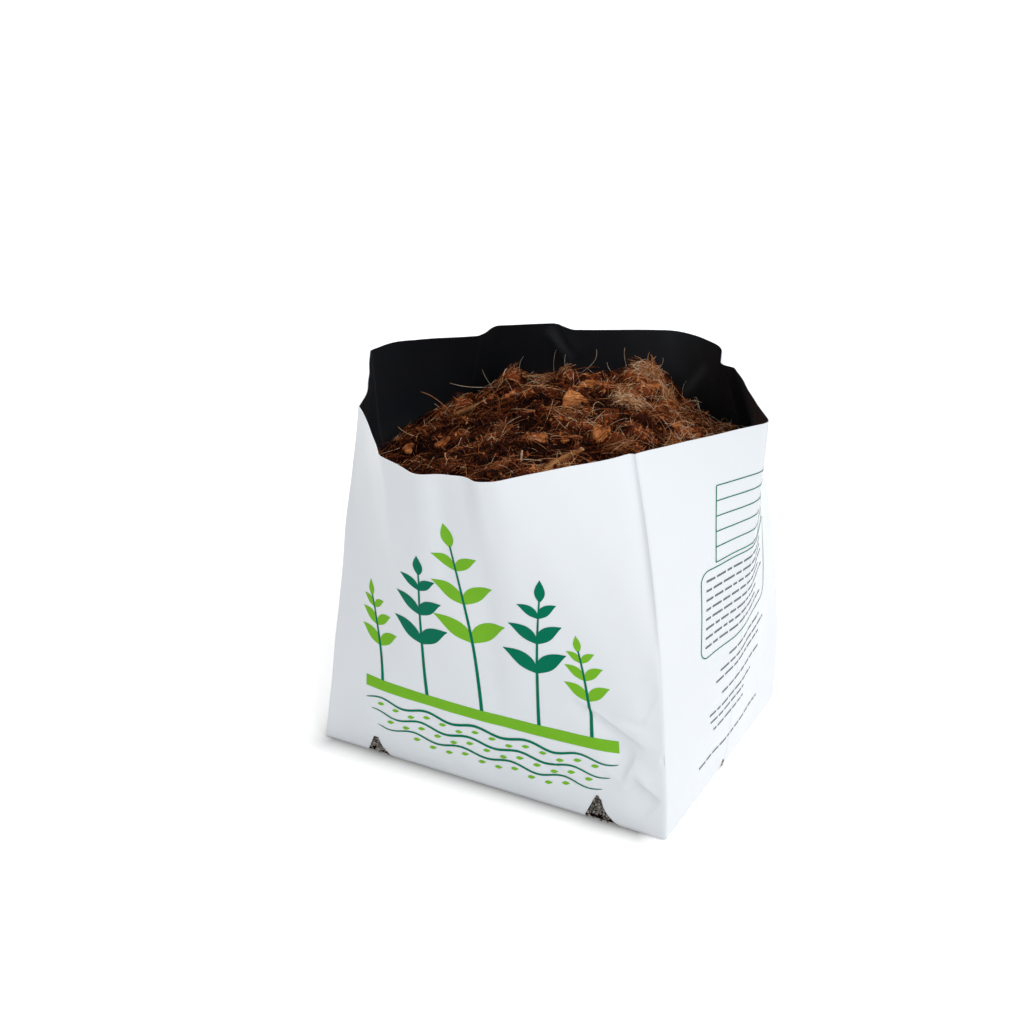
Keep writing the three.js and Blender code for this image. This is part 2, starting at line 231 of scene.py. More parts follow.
# Coir: a tone given to each grain or fibre, which carries painted shade in the hollows and painted light
# towards the back right, picks its brown, and a fine noise breaks it up
def coirFinish(name, stops, grain, strength):
    f = newFinish(name)
    speckle = f.noise(f.objectPlace(), grain, detail=3.0)
    tone = f.attribute("tone") + coirLook["speckle"] * (speckle - 0.5)
    least, bySpeckle = coirLook["rough"]
    return f.surface(
        Base_Color=f.ramp(tone, stops),
        Roughness=least + bySpeckle * speckle,
        Normal=f.bump(speckle, strength, coirLook["relief"] * mm),
        Specular_IOR_Level=coirLook["shine"],
    )


huskLook = {
    "speckle": (0.4, 900.0),  # how far the fine noise moves tone and relief, and its scale
    "rough": (0.62, 0.3),  # at least, and what the streaks add
    "relief": (0.5, 0.6),  # strength, and height in millimetres
    "shine": 0.06,
}


# Husk and wood: streaks along the piece's own grain, which its UV map carries
def grainFinish(name, stops, along, across, contrast):
    f = newFinish(name)
    grain = f.node("ShaderNodeUVMap", {"uv_map": "grain"})
    stretched = f.node("ShaderNodeMapping", None, {"Vector": grain, "Scale": (along, across, 1.0)})
    streak = f.noise(stretched, 1.0, detail=4.0, roughness=0.6)
    share, scale = huskLook["speckle"]
    speckle = f.noise(f.objectPlace(), scale)
    tone = f.attribute("tone") + contrast * (streak - 0.5) + share * (speckle - 0.5)
    least, byStreak = huskLook["rough"]
    strength, height = huskLook["relief"]
    return f.surface(
        Base_Color=f.ramp(tone, stops),
        Roughness=least + byStreak * streak,
        Normal=f.bump(streak + share * speckle, strength, height * mm),
        Specular_IOR_Level=huskLook["shine"],
    )


inkLook = {
    "cloudScale": 60.0,
    "rough": (0.30, 0.14),  # at least, and what clouds add
    "shine": 0.02,
}


# Ink: a flat printed colour that lies a little unevenly on the film
def inkFinish(name, colour, thin):
    f = newFinish(name)
    lay = f.noise(f.objectPlace(), inkLook["cloudScale"], detail=4.0)
    least, byCloud = inkLook["rough"]
    return f.surface(
        Base_Color=f.mixColour(lay, (*colour, 1), (*thin, 1)),
        Roughness=least + byCloud * lay,
        Specular_IOR_Level=inkLook["shine"],
    )


# Stops of the colour ramps: tone, colour
coirBrowns = [
    (0.0, (0.003, 0.0006, 0.0004)),
    (0.3, (0.042, 0.0082, 0.0032)),
    (0.6, (0.190, 0.0430, 0.0130)),
    (1.0, (0.540, 0.1750, 0.0560)),
]
fibreBrowns = [
    (0.0, (0.018, 0.0036, 0.0016)),
    (0.4, (0.175, 0.0400, 0.0120)),
    (0.7, (0.480, 0.1650, 0.0560)),
    (0.9, (0.740, 0.4400, 0.2200)),
    (1.0, (0.860, 0.7200, 0.5600)),
]
dustyBrowns = [
    (0.1, (0.015, 0.012, 0.010)),
    (0.5, (0.16, 0.145, 0.130)),
    (1.0, (0.46, 0.43, 0.40)),
]
huskBrowns = [
    (0.0, (0.012, 0.0030, 0.0012)),
    (0.35, (0.100, 0.0250, 0.0076)),
    (0.7, (0.390, 0.1280, 0.0370)),
    (1.0, (0.620, 0.2800, 0.1050)),
]
woodTans = [
    (0.0, (0.03, 0.010, 0.004)),
    (0.4, (0.17, 0.068, 0.021)),
    (0.75, (0.46, 0.220, 0.078)),
    (1.0, (0.76, 0.560, 0.350)),
]

filmOutside = filmOutsideFinish()
filmInside = filmInsideFinish()
coirBedFinish = coirFinish("coirBedding", coirBrowns, grain=500.0, strength=0.8)
coirCrumbFinish = coirFinish("coirCrumb", coirBrowns, grain=900.0, strength=0.6)
coirFibreFinish = coirFinish("coirFibre", fibreBrowns, grain=300.0, strength=0.2)
coirDustFinish = coirFinish("dustyCoir", dustyBrowns, grain=900.0, strength=0.6)
huskFinish = grainFinish("coconutHusk", huskBrowns, along=0.14, across=0.9, contrast=1.8)
stickFinish = grainFinish("splitWood", woodTans, along=0.1, across=2.2, contrast=2.4)
limeInk = inkFinish("limeInk", (0.190, 0.500, 0.024), (0.220, 0.540, 0.036))
greenInk = inkFinish("greenInk", (0.001, 0.165, 0.088), (0.003, 0.195, 0.108))
greyInk = inkFinish("greyInk", (0.13, 0.165, 0.18), (0.19, 0.22, 0.235))
print("finishes made:", len(bpy.data.materials))


# A piece from arrays: points in millimetres, and index arrays of faces with three or four corners
def newPiece(name, points, faceSets, finishes, smooth=True):
    mesh = bpy.data.meshes.new(name)
    mesh.vertices.add(len(points))
    mesh.vertices.foreach_set("co", (np.asarray(points) * mm).astype(np.float32).ravel())
    corners = np.concatenate([faces.ravel() for faces in faceSets]).astype(np.int32)
    sizes = np.concatenate([np.full(len(faces), faces.shape[1]) for faces in faceSets])
    mesh.loops.add(len(corners))
    mesh.loops.foreach_set("vertex_index", corners)
    mesh.polygons.add(len(sizes))
    mesh.polygons.foreach_set("loop_start", (np.cumsum(sizes) - sizes).astype(np.int32))
    mesh.polygons.foreach_set("use_smooth", np.full(len(sizes), smooth))
    mesh.update(calc_edges=True)
    for finish in finishes:
        mesh.materials.append(finish)
    piece = bpy.data.objects.new(name, mesh)
    bpy.context.scene.collection.objects.link(piece)
    return piece


# A value for each point, which the finishes read by its name
def giveValue(piece, name, values):
    layer = piece.data.attributes.new(name, "FLOAT", "POINT")
    layer.data.foreach_set("value", np.asarray(values, np.float32).ravel())


# A place along and across the grain for each point, as a UV map
def giveGrain(piece, grain):
    corner = np.empty(len(piece.data.loops), np.int32)
    piece.data.loops.foreach_get("vertex_index", corner)
    layer = piece.data.uv_layers.new(name="grain")
    layer.data.foreach_set("uv", np.asarray(grain, np.float32)[corner].ravel())


# Puts a finished piece on the body and hides the solids that it stands for
def settle(piece, slot, *nodes):
    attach(piece, "root")
    if nodes:
        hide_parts(*nodes)
    triangles = sum(len(p.vertices) - 2 for p in piece.data.polygons)
    print("made", piece.name, "with", triangles, "triangles")


# Quads between neighbouring rows and columns of a grid of points
def gridFaces(rows, columns, closed=False, first=0):
    row = np.arange(rows - 1)[:, None] * columns
    column = np.arange(columns if closed else columns - 1)[None, :]
    beside = (column + 1) % columns
    corners = [row + column, row + beside, row + columns + beside, row + columns + column]
    return np.stack(corners, -1).reshape(-1, 4) + first


# A closed surface through a stack of rings, with a point that closes each end: points and faces
def loft(rings, firstPole, lastPole):
    rows, columns = rings.shape[:2]
    points = np.concatenate([[firstPole], rings.reshape(-1, 3), [lastPole]])
    i = np.arange(columns)
    beside = (i + 1) % columns
    top = 1 + (rows - 1) * columns
    low = np.stack([0 * i, 1 + beside, 1 + i], -1)
    high = np.stack([0 * i + len(points) - 1, top + i, top + beside], -1)
    return points, [gridFaces(rows, columns, True, 1), low, high]


# Several bodies as one: their points in a row, and their faces with the points before them counted in
def joinBodies(bodies):
    points = [body[0] for body in bodies]
    first = np.cumsum([0] + [len(part) for part in points])
    faces = [faceSet + start for (_, faceSets), start in zip(bodies, first) for faceSet in faceSets]
    return np.concatenate(points), faces


# From nought at low to one at high, as 3 share squared - 2 share cubed
def smoothStep(value, low, high):
    share = np.clip((value - low) / (high - low), 0, 1)
    return share * share * (3 - 2 * share)


# Random values from low to high, more of them low: chance to a power, times the span
def skewed(rng, span, power, count):
    low, high = span
    return low + (high - low) * rng.random(count) ** power


hardEdge = np.radians(35)  # edges sharper than this are shaded as edges
tiny = 1e-9  # keeps a length off nought where something is divided by it
insideLast = 1.001  # keeps a place on the last line of a map within its last cell


# The film. s is the distance round the base from its front left corner, h the height up the film.
film = {
    "width": 200,
    "depth": 150,
    "height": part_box("film_bag")[1].z / mm,
    "wall": 0.4,
    "baseTurn": 2.0,  # outside radius of the fold between base and walls
    "rimDip": 3,  # power by which a dip of the rim fades towards the base
    "tighten": 0.7,  # hard folds are this much tighter than the solid's
    "hardTurn": 8,  # a fold that turns in less than this at the rim is a hard one
    # each fold: s, how far its rim end stands out in x and y, its dip at the rim, the power by which it
    # leans over on the way up, and half the length of film that turns there, at base and rim
    "folds": [
        (0, 25, 7, 2, 1.0, 1.5, 4),
        (30, 14, -12.5, 2, 1.2, 16, 12),
        (59, 3, -36, 2, 1.4, 20, 4),
        (86, 1.5, -45, 2, 1.5, 20, 6),
        (109, -0.6, -36.5, 2, 1.6, 12, 5),
        (116, -1, -39, 2, 1.6, 12, 3),
        (124, -1.5, -35.5, 2, 1.6, 12, 5),
        (200, -33.5, 22.5, 3, 1.8, 3, 6),
        (275, 12, 4, 0, 0.8, 25, 7),
        (350, -30, -11, 3, 2.4, 3, 4),
        (358, -29, -12, 2, 2.4, 3, 4),
        (382, -12, 7.5, 1, 2.0, 12, 8),
        (414, -5, 18.5, 1, 2.0, 16, 14),
        (444, 3, 7.5, 0, 2.0, 16, 16),
        (488, 13, -6, 2, 2.0, 12, 3.5),
        (501, 16, -5.5, 0, 2.0, 12, 5),
        (541, 27, -22, 1, 2.0, 3, 5),
        (550, 32, -29, 5, 2.0, 3, 5),
        (606, 0, -12, 0, 1.5, 25, 12),
        (625, -4, -9, 0, 1.5, 25, 5),
        (661, 12, -1, 0, 1.2, 25, 16),
        (682, 21, 4, 1, 1.0, 10, 10),
    ],
    # dents: s, h, half width, half height, depth
    "dents": [
        (178, 46, 9, 8, 1.0),
        (164, 66, 12, 7, 0.9),
        (186, 27, 8, 6, -0.9),
        (184, 62.5, 9, 2.6, 0.5),
        (170, 30, 10, 8, 0.6),
        (198.5, 45, 1.6, 3, 0.9),
        (197, 52, 13, 34, 1.6),
    ],
    # creases pressed into the film, which falls in on one side of each and eases out again: s and h of
    # both ends with the low side on the right hand, distance to the deepest line, depth
    "creases": [
        (150, 72, 189, 50, 3.6, 1.8),
        (184, 47, 176, 28, 4.5, 1.3),
        (182, 33, 197, 22.5, 5.0, 1.7),
        (199, 84, 186, 58, 3.0, 0.5),
        (128, 34, 152, 21, 3.0, 0.5),
        (500, 198, 480, 181, 2.2, 0.9),
        (489, 184, 508, 198, 2.2, 0.9),
        (200, 240, 200, 100, 3.0, 1.4),
    ],
    # soft furrows and, with a depth below nought, ridges: s and h of both ends, half width, depth
    "flutes": [
        (84, 206, 72, 128, 6, -1.2),
        (98, 206, 87, 120, 6, 2.8),
        (117, 206, 104, 124, 6, -1.2),
    ],
    # pinched folds that stand proud towards the rim: s, height of the ridge, reach to either side
    "pinches": [(0, 0.4, 2), (200, 0.5, 2), (275, 0.4, 3), (350, 0.4, 2), (550, 0.4, 2), (625, 0.4, 3)],
    "pinchRise": (0.48, 0.66),  # shares of the height between which they come up
    # slow waves in the film: cycles round the bag and up it, start, depth
    "waves": [(9, 1.3, 0.4, 0.22), (14, -2.2, 1.9, 0.16), (23, 3.1, 4.0, 0.10), (31, -5.3, 2.2, 0.06)],
    "endFade": 0.6,  # power by which creases, flutes and scuffs fade at their ends
    "reliefRise": (1, 14),  # heights between which all relief comes in over the base
    "feel": 0.5,  # half the length of film over which its direction is taken
    "outerSteps": [(2, 90, 1.15), (90, 150, 2.1), (150, 200, 2.0)],  # longest facet from h to h
    "innerSteps": [(2, 24, 2.0), (24, 150, 9.0), (150, 200, 2.0)],
    # behind the coir the inner face stands back: h where that starts and is full, h where it stops being full
    # and ends, distance
    "lining": (14, 22, 140, 156, 2.0),
    "turnRows": 5,
    # longest facet from s to s
    "steps": [
        (0, 135, 1.7),
        (135, 200, 1.0),
        (200, 350, 2.2),
        (350, 470, 3.0),
        (470, 515, 1.8),
        (515, 700, 3.0),
    ],
    "bendSteps": 8,  # facets over the turn of a fold
    "leastStep": 0.4,
    # bands along the folds: wear and painted shade outside, painted sheen inside
    "foldShadeSheen": [(0, 0.5), (200, 1.0), (275, 0.7), (350, 0.6), (550, 0.15), (625, 0.5)],  # s, amount
    "foldShadeSheenWidth": 0.9,
    # bands along the creases, greyer outside with wear and painted crease shade, paler inside with painted
    # sheen: s and h of both ends, half width, amount
    "shadeSheenBands": [
        (150, 71.5, 189, 49.5, 0.8, 0.6),
        (184, 46, 176, 28, 0.8, 0.5),
        (182, 32.5, 197, 22, 0.8, 0.5),
        (506, 198.5, 484, 182, 3.2, 0.9),
        (395, 187, 418, 161, 2.4, 0.85),
    ],
    # where the film is crinkled: s, h, half width, half height, amount
    "crinkles": [
        (176, 44, 26, 30, 1.0),
        (60, 8, 60, 10, 0.35),
        (320, 20, 30, 26, 0.35),
        (230, 30, 24, 34, 0.3),
    ],
}

baseCorners = np.cumsum([0, film["width"], film["depth"], film["width"], film["depth"]])
perimeter = baseCorners[-1]
foldRows = np.array(film["folds"], float)
foldRows[:, 5:] *= np.where(foldRows[:, 6:] < film["hardTurn"], film["tighten"], 1.0)

# The folds once round the bag, with the last two of the lap before and the first three of the lap after
lapBefore, lapAfter = foldRows[-2:].copy(), foldRows[:3].copy()
lapBefore[:, 0] -= perimeter
lapAfter[:, 0] += perimeter
foldLap = np.concatenate([lapBefore, foldRows, lapAfter])
foldAt = foldLap[:, 0]


# Point of the base outline at distance s: straight between the four corners
def baseOutline(s):
    halfWidth, halfDepth = film["width"] / 2, film["depth"] / 2
    x = np.interp(s % perimeter, baseCorners, [-halfWidth, halfWidth, halfWidth, -halfWidth, -halfWidth])
    y = np.interp(s % perimeter, baseCorners, [-halfDepth, -halfDepth, halfDepth, halfDepth, -halfDepth])
    return x, y


# Edge of the base that holds s: its first corner, its direction, and how far along it s lies
def baseEdge(s):
    edge = np.searchsorted(baseCorners, s, side="right") - 1
    direction = [(1, 0), (0, 1), (-1, 0), (0, -1)][edge]
    return baseOutline(baseCorners[edge]), direction, s - baseCorners[edge]


# Fold k at height h: its base point, moved out by the share of the height to the power of its lean
def foldPoint(k, h):
    s, outX, outY, dip, lean = np.moveaxis(foldLap[k], -1, 0)[:5]
    rise = h / film["height"]
    over = np.maximum(rise, 0) ** lean
    x, y = baseOutline(s)
    return np.stack([x + outX * over, y + outY * over, h - dip * rise ** film["rimDip"]], -1)


# Film at s and h: straight from fold to fold, plus at each fold the change of direction times
# (turn - distance) squared / (4 turn), which rounds it off as a parabola
def sectionPoint(s, h):
    s, h = np.broadcast_arrays(np.asarray(s, float) % perimeter, np.asarray(h, float))
    k = np.searchsorted(foldAt, s, side="right") - 1
    corner = [foldPoint(k + i, h) for i in (-1, 0, 1, 2)]
    at = [foldAt[k + i] for i in (-1, 0, 1, 2)]
    run = [(corner[i + 1] - corner[i]) / (at[i + 1] - at[i])[..., None] for i in range(3)]
    point = corner[1] + run[1] * (s - at[1])[..., None]
    rise = h / film["height"]
    for i in (1, 2):
        bend = foldLap[k + i - 1]
        turn = bend[..., 5] + (bend[..., 6] - bend[..., 5]) * rise
        turn = np.minimum(turn, np.minimum(at[i] - at[i - 1], at[i + 1] - at[i]) / 2)
        near = np.maximum(turn - np.abs(s - at[i]), 0)
        point = point + (run[i] - run[i - 1]) * (near**2 / (4 * turn))[..., None]
    return point


# Share along a line of film coordinates and distance to its right hand
def besideLine(s, h, s0, h0, s1, h1):
    length = np.hypot(s1 - s0, h1 - h0)
    along = ((s - s0) * (s1 - s0) + (h - h0) * (h1 - h0)) / length**2
    return along, ((s - s0) * (h1 - h0) - (h - h0) * (s1 - s0)) / length


# Fades a line towards both ends: the sine of the share along it, to a power
def fadeEnds(along):
    return np.sin(np.pi * np.clip(along, 0, 1)) ** film["endFade"]


# A bell: exp(-(distance / half width) squared), across and up
def bell(s, h, at, up, across, tall):
    return np.exp(-(((s - at) / across) ** 2) - ((h - up) / tall) ** 2)


# Distance round the bag, the short way
def roundAway(s, at):
    return np.abs((s - at + perimeter / 2) % perimeter - perimeter / 2)


# How deep the film is pressed in at s and h: bell-shaped dents; creases as distance / width times
# exp(1 - distance / width) on their low side; bell-shaped flutes; ridges along the pinched folds that fall
# off by exp(-distance / reach); slow waves. All of it fades out at the base.
def filmRelief(s, h):
    s = s % perimeter
    depth = np.zeros(np.broadcast(s, h).shape)
    for *place, deep in film["dents"]:
        depth += deep * bell(s, h, *place)
    for *line, wide, deep in film["creases"]:
        along, aside = besideLine(s, h, *line)
        out = np.maximum(aside, 0) / wide
        depth += deep * fadeEnds(along) * out * np.exp(1 - out)
    for *line, wide, deep in film["flutes"]:
        along, aside = besideLine(s, h, *line)
        depth += deep * fadeEnds(along) * np.exp(-((aside / wide) ** 2))
    for at, proud, reach in film["pinches"]:
        ridge = np.exp(-roundAway(s, at) / reach)
        depth -= proud * ridge * smoothStep(h / film["height"], *film["pinchRise"])
    for around, up, start, deep in film["waves"]:
        depth += deep * np.sin(2 * np.pi * (around * s / perimeter + up * h / film["height"]) + start)
    return depth * smoothStep(h, *film["reliefRise"])


# Where the film is worn and where shade and sheen are painted on it: bell-shaped bands along its main folds
# and its crease bands, the strongest at each place
def filmWearShadeSheen(s, h):
    wearShadeSheen = np.zeros(np.broadcast(s, h).shape)
    for at, amount in film["foldShadeSheen"]:
        wearShadeSheen = np.maximum(wearShadeSheen, amount * np.exp(-((roundAway(s, at) / film["foldShadeSheenWidth"]) ** 2)))
    for *line, wide, amount in film["shadeSheenBands"]:
        along, aside = besideLine(s, h, *line)
        wearShadeSheen = np.maximum(wearShadeSheen, amount * fadeEnds(along) * np.exp(-((aside / wide) ** 2)))
    return wearShadeSheen


# How crinkled the film is: the highest of its bells at each place
def filmCrinkle(s, h):
    return np.maximum.reduce([amount * bell(s, h, *place) for *place, amount in film["crinkles"]])


# Point of the film moved inward, square to its section, by the inset and the relief
def filmPoint(s, h, inset=0.0):
    s, h = np.broadcast_arrays(np.asarray(s, float), np.asarray(h, float))
    along = sectionPoint(s + film["feel"], h) - sectionPoint(s - film["feel"], h)
    along = along[..., :2] / np.linalg.norm(along[..., :2], axis=-1, keepdims=True)
    point = sectionPoint(s, h)
    inward = inset + filmRelief(s, h)
    point[..., 0] -= along[..., 1] * inward
    point[..., 1] += along[..., 0] * inward
    return point


# Even steps over each stretch of a line, given as from, to and longest step
def evenSteps(stretches):
    parts = [np.linspace(low, high, int(np.ceil((high - low) / step)), endpoint=False)
             for low, high, step in stretches]
    return np.concatenate(parts)


# Stations round the film: even steps, and closer ones over the turn of each fold and at each pinch
def filmStations():
    bends = [s + turn * np.linspace(-1, 1, film["bendSteps"] + 1) for s, turn in foldRows[:, [0, 6]]]
    pinches = [np.array([s - reach, s, s + reach]) for s, _, reach in film["pinches"]]
    stations = np.sort(np.concatenate([evenSteps(film["steps"]), *bends, *pinches]) % perimeter)
    kept = np.concatenate([[True], np.diff(stations) > film["leastStep"]])
    return stations[kept]


# Rows of one face of the film, `gap` inside its outer face: heights and insets, round the base fold and
# then up to the rim
def wallRows(steps, gap):
    radius = film["baseTurn"] - gap
    angle = np.linspace(0, np.pi / 2, film["turnRows"], endpoint=False)
    up = np.append(evenSteps(steps), film["height"])
    h = np.concatenate([gap + radius * (1 - np.cos(angle)), up])
    inset = np.concatenate([gap + radius * (1 - np.sin(angle)), np.full(len(up), gap)])
    return h[:, None], inset[:, None]


# Drainage notches punched through the base fold
notches = {
    "lean": 0.17,  # the tip stands this share of the width before the middle
    "tip": 0.16,  # width of the blunt tip as a share of the notch
    "under": 8,  # reach of the punch in under the base
    "out": 12,  # and out past the wall
    "hollow": 0.25,  # height of the middle control point of the hollow flank, as a share
    "steps": 9,
    # each notch: s of its middle, width, height
    "places": [(36, 18, 11), (166, 23, 13.5), (275, 13, 5), (384, 23, 13.5), (514, 18, 11), (625, 13, 5)],
}


# Outline of a notch: below the base, up a hollow flank that is a curve of three control points, a blunt tip
# and down a straight flank
def notchOutline(width, height):
    tip, blunt = -notches["lean"] * width, notches["tip"] * width / 2
    t = np.linspace(0, 1, notches["steps"])[:, None]
    start, end = (width / 2, 0), (tip + blunt, height)
    pull = (tip + 2 * blunt, height * notches["hollow"])
    flank = np.array(start) * (1 - t) ** 2 + np.array(pull) * 2 * t * (1 - t) + np.array(end) * t**2
    low = [(-width / 2, -height), (width / 2, -height)]
    return np.concatenate([low, flank, [(tip - blunt, height), (-width / 2, 0)]])


# The punches: each outline carried square through the film
def notchPunches():
    bodies = []
    for s, width, height in notches["places"]:
        (x, y), (dx, dy), at = baseEdge(s)
        outline = notchOutline(width, height)
        along, up = at + outline[:, 0], outline[:, 1]
        ends = [np.stack([x + dx * along + dy * out, y + dy * along - dx * out, up], -1)
                for out in (-notches["under"], notches["out"])]
        bodies.append(loft(np.stack(ends), *np.mean(ends, axis=1)))
    return joinBodies(bodies)


# The bag: rings up the outer face, over the rim and down the inner face, closed by the base on either side,
# with the notches cut out
def makeFilm():
    s = filmStations()
    outer, inner = wallRows(film["outerSteps"], 0.0), wallRows(film["innerSteps"], film["wall"])
    start, full, last, end, back = film["lining"]
    hidden = smoothStep(inner[0], start, full) * (1 - smoothStep(inner[0], last, end))
    h = np.concatenate([outer[0], inner[0][::-1]])
    inset = np.concatenate([outer[1], (inner[1] + back * hidden)[::-1]])
    points, faces = loft(filmPoint(s[None], h, inset), (0, 0, 0), (0, 0, film["wall"]))
    piece = newPiece("filmBag", points, faces, [filmOutside, filmInside])
    lining = np.arange(len(faces[0])) // len(s) >= len(outer[0])
    sides = np.concatenate([lining, np.zeros(len(s), bool), np.ones(len(s), bool)])
    piece.data.polygons.foreach_set("material_index", sides.astype(np.int32))
    # painted crease shade with wear outside and painted sheen inside, and the crinkles, for the finishes
    for name, values in (("foldWear", filmWearShadeSheen(s[None], h)), ("crinkle", filmCrinkle(s[None], h))):
        giveValue(piece, name, np.concatenate([[0], values.ravel(), [0]]))
    punch = newPiece("notchPunch", *notchPunches(), [filmOutside])
    cut = piece.modifiers.new("notches", "BOOLEAN")
    cut.operation = "DIFFERENCE"
    cut.solver = "EXACT"
    cut.object = punch
    ready = piece.evaluated_get(bpy.context.evaluated_depsgraph_get())
    piece.data = bpy.data.meshes.new_from_object(ready)
    piece.modifiers.clear()
    bpy.data.objects.remove(punch)
    piece.data.set_sharp_from_angle(angle=hardEdge)
    settle(piece, "film", "film_bag")


# Print: a generic field of seedlings on the front, a blank ruled table and plain lines on the gusset
inkLay = {
    "lime": 0.14,  # lift of each ink off the film
    "green": 0.20,
    "grey": 0.14,
    "thick": 0.06,
    "edge": np.radians(40),  # the ink's outline is shaded as an edge
    "step": 1.6,  # longest step along a straight line
}
leafForm = {
    "belly": 0.85,  # below one, the widest place lies before the middle
    "blunt": 0.04,  # half width of the ends as a share
    "columns": 5,
}


# A leaf in film coordinates: its half width is the sine of half a turn times the share along it, taken to the
# power of its belly, and its line bends evenly
def leafPatch(s, h, heading, length, width, bend=0.0, steps=14):
    t = np.linspace(0, 1, steps)[:, None]
    u = np.linspace(-1, 1, leafForm["columns"])[None, :]
    angle = np.radians(heading + bend * (t - 0.5))
    mid = np.concatenate([np.zeros((1, 1)), (t[1:] + t[:-1]) / 2])
    turn = np.radians(heading + bend * (mid - 0.5))
    stepLong = np.where(t > 0, length / (steps - 1), 0)
    lineS = s + np.cumsum(stepLong * np.cos(turn), 0)
    lineH = h + np.cumsum(stepLong * np.sin(turn), 0)
    half = width / 2 * np.maximum(np.sin(np.pi * t ** leafForm["belly"]), leafForm["blunt"])
    return np.stack([lineS - u * half * np.sin(angle), lineH + u * half * np.cos(angle)], -1)


# A stroke in film coordinates: a ribbon of even or tapering width along a line of points
def strokePatch(line, width):
    line = np.asarray(line, float)
    along = np.gradient(line, axis=0)
    along /= np.linalg.norm(along, axis=1, keepdims=True)
    half = np.broadcast_to(width, len(line))[:, None] / 2
    across = np.stack([-along[:, 1], along[:, 0]], -1) * half
    return np.stack([line - across, line, line + across], 1)


# Even points from one place to another, three at least
def straightLine(s0, h0, s1, h1):
    count = max(3, int(np.hypot(s1 - s0, h1 - h0) / inkLay["step"]) + 2)
    return np.stack([np.linspace(s0, s1, count), np.linspace(h0, h1, count)], -1)


# Puts patches of film coordinates on the film, just proud of it, as one thin piece
def printInk(name, patches, finish, lift):
    bodies = []
    for patch in patches:
        points = filmPoint(patch[..., 0], patch[..., 1], -lift).reshape(-1, 3)
        bodies.append((points, [gridFaces(*patch.shape[:2])[:, ::-1]]))
    piece = newPiece(name, *joinBodies(bodies), [finish])
    skin = piece.modifiers.new("ink", "SOLIDIFY")
    skin.thickness = inkLay["thick"] * mm
    skin.offset = -1
    edges = piece.modifiers.new("edges", "EDGE_SPLIT")
    edges.split_angle = inkLay["edge"]
    settle(piece, "film")


seedlings = {
    "ground": (26, 174, 43.0, 50.0),  # s from and to, h from and to
    "stemWidth": (1.9, 0.9),
    "stemSteps": 30,
    "leafWidth": 0.40,  # width of a leaf as a share of its length
    "leafLift": 38,  # degrees from level at which the leaves stand
    "leafBend": 40,  # degrees that they turn from root to tip
    "topLeaf": (0.6, 0.26, 1),  # length and width as shares of the longest leaf, how far it overlaps the stem
    # each seedling: s, height, sideways lean of the tip, longest leaf, whether its leaves are the dark ink
    "places": [
        (38, 52, -7, 17, False),
        (67, 82, 6, 22, True),
        (99, 104, -5, 25, False),
        (131, 78, 7, 22, True),
        (160, 50, -4, 16, False),
    ],
    "pairs": [(0.42, 1.0), (0.66, 0.84), (0.86, 0.62)],  # share up the stem, share of the longest leaf
    # each furrow: h, stroke width, s from and to of its row of seeds, which lies below it
    "furrows": [(36.5, 1.5, 34, 168), (28.0, 1.3, 40, 156), (20.0, 1.1, 56, 146)],
    "furrowWave": (1.5, 29.0),  # height and length of a wave
    "furrowIn": 4,  # each furrow starts this much further in than the one above it
    "furrowStep": 1.2,
    "furrowEnds": (0.4, 0.15),  # power by which the stroke thins towards its ends, and what it keeps there
    "seedDrop": 4.4,
    "seedSize": (4.6, 2.1),
    "seedTilt": 12,
    "seedSteps": 9,
    "seedGap": 9.6,
}


# The front: a strip of ground, seedlings whose stems lean over by the square of the share up them, with their
# leaves in pairs, and sine-wave furrows with rows of seeds. Returns what each ink prints.
def printSeedlings():
    lime, green = [], []
    start, end, low, high = seedlings["ground"]
    band = straightLine(start, (low + high) / 2, end, (low + high) / 2)
    lime.append(strokePatch(band, high - low))
    for s, tall, lean, leaf, dark in seedlings["places"]:
        t = np.linspace(0, 1, seedlings["stemSteps"])
        stem = np.stack([s + lean * t**2, high + tall * t], -1)
        green.append(strokePatch(stem, np.interp(t, [0, 1], seedlings["stemWidth"])))
        blades = green if dark else lime
        for share, size in seedlings["pairs"]:
            rootS, rootH = s + lean * share**2, high + tall * share
            for side in (-1, 1):
                heading = 90 - side * (90 - seedlings["leafLift"])
                long = leaf * size
                wide = long * seedlings["leafWidth"]
                blades.append(leafPatch(rootS, rootH, heading, long, wide, -side * seedlings["leafBend"]))
        long, wide, overlap = seedlings["topLeaf"]
        blades.append(leafPatch(s + lean, high + tall - overlap, 90 - lean, leaf * long, leaf * wide))
    height, length = seedlings["furrowWave"]
    power, least = seedlings["furrowEnds"]
    for row, (h, width, seedStart, seedEnd) in enumerate(seedlings["furrows"]):
        shorter = seedlings["furrowIn"] * row
        across = np.arange(start + shorter, end - shorter, seedlings["furrowStep"])
        wave = height * np.sin(2 * np.pi * across / length + row)
        share = np.linspace(0, 1, len(across))
        thick = width * np.sin(np.pi * share) ** power + least
        green.append(strokePatch(np.stack([across, h + wave], -1), thick))
        for at in np.arange(seedStart, seedEnd, seedlings["seedGap"]):
            sway = height * np.sin(2 * np.pi * at / length + row)
            place = at, h - seedlings["seedDrop"] + sway
            tilt, size = seedlings["seedTilt"], seedlings["seedSize"]
            lime.append(leafPatch(*place, tilt, *size, steps=seedlings["seedSteps"]))
    return lime, green


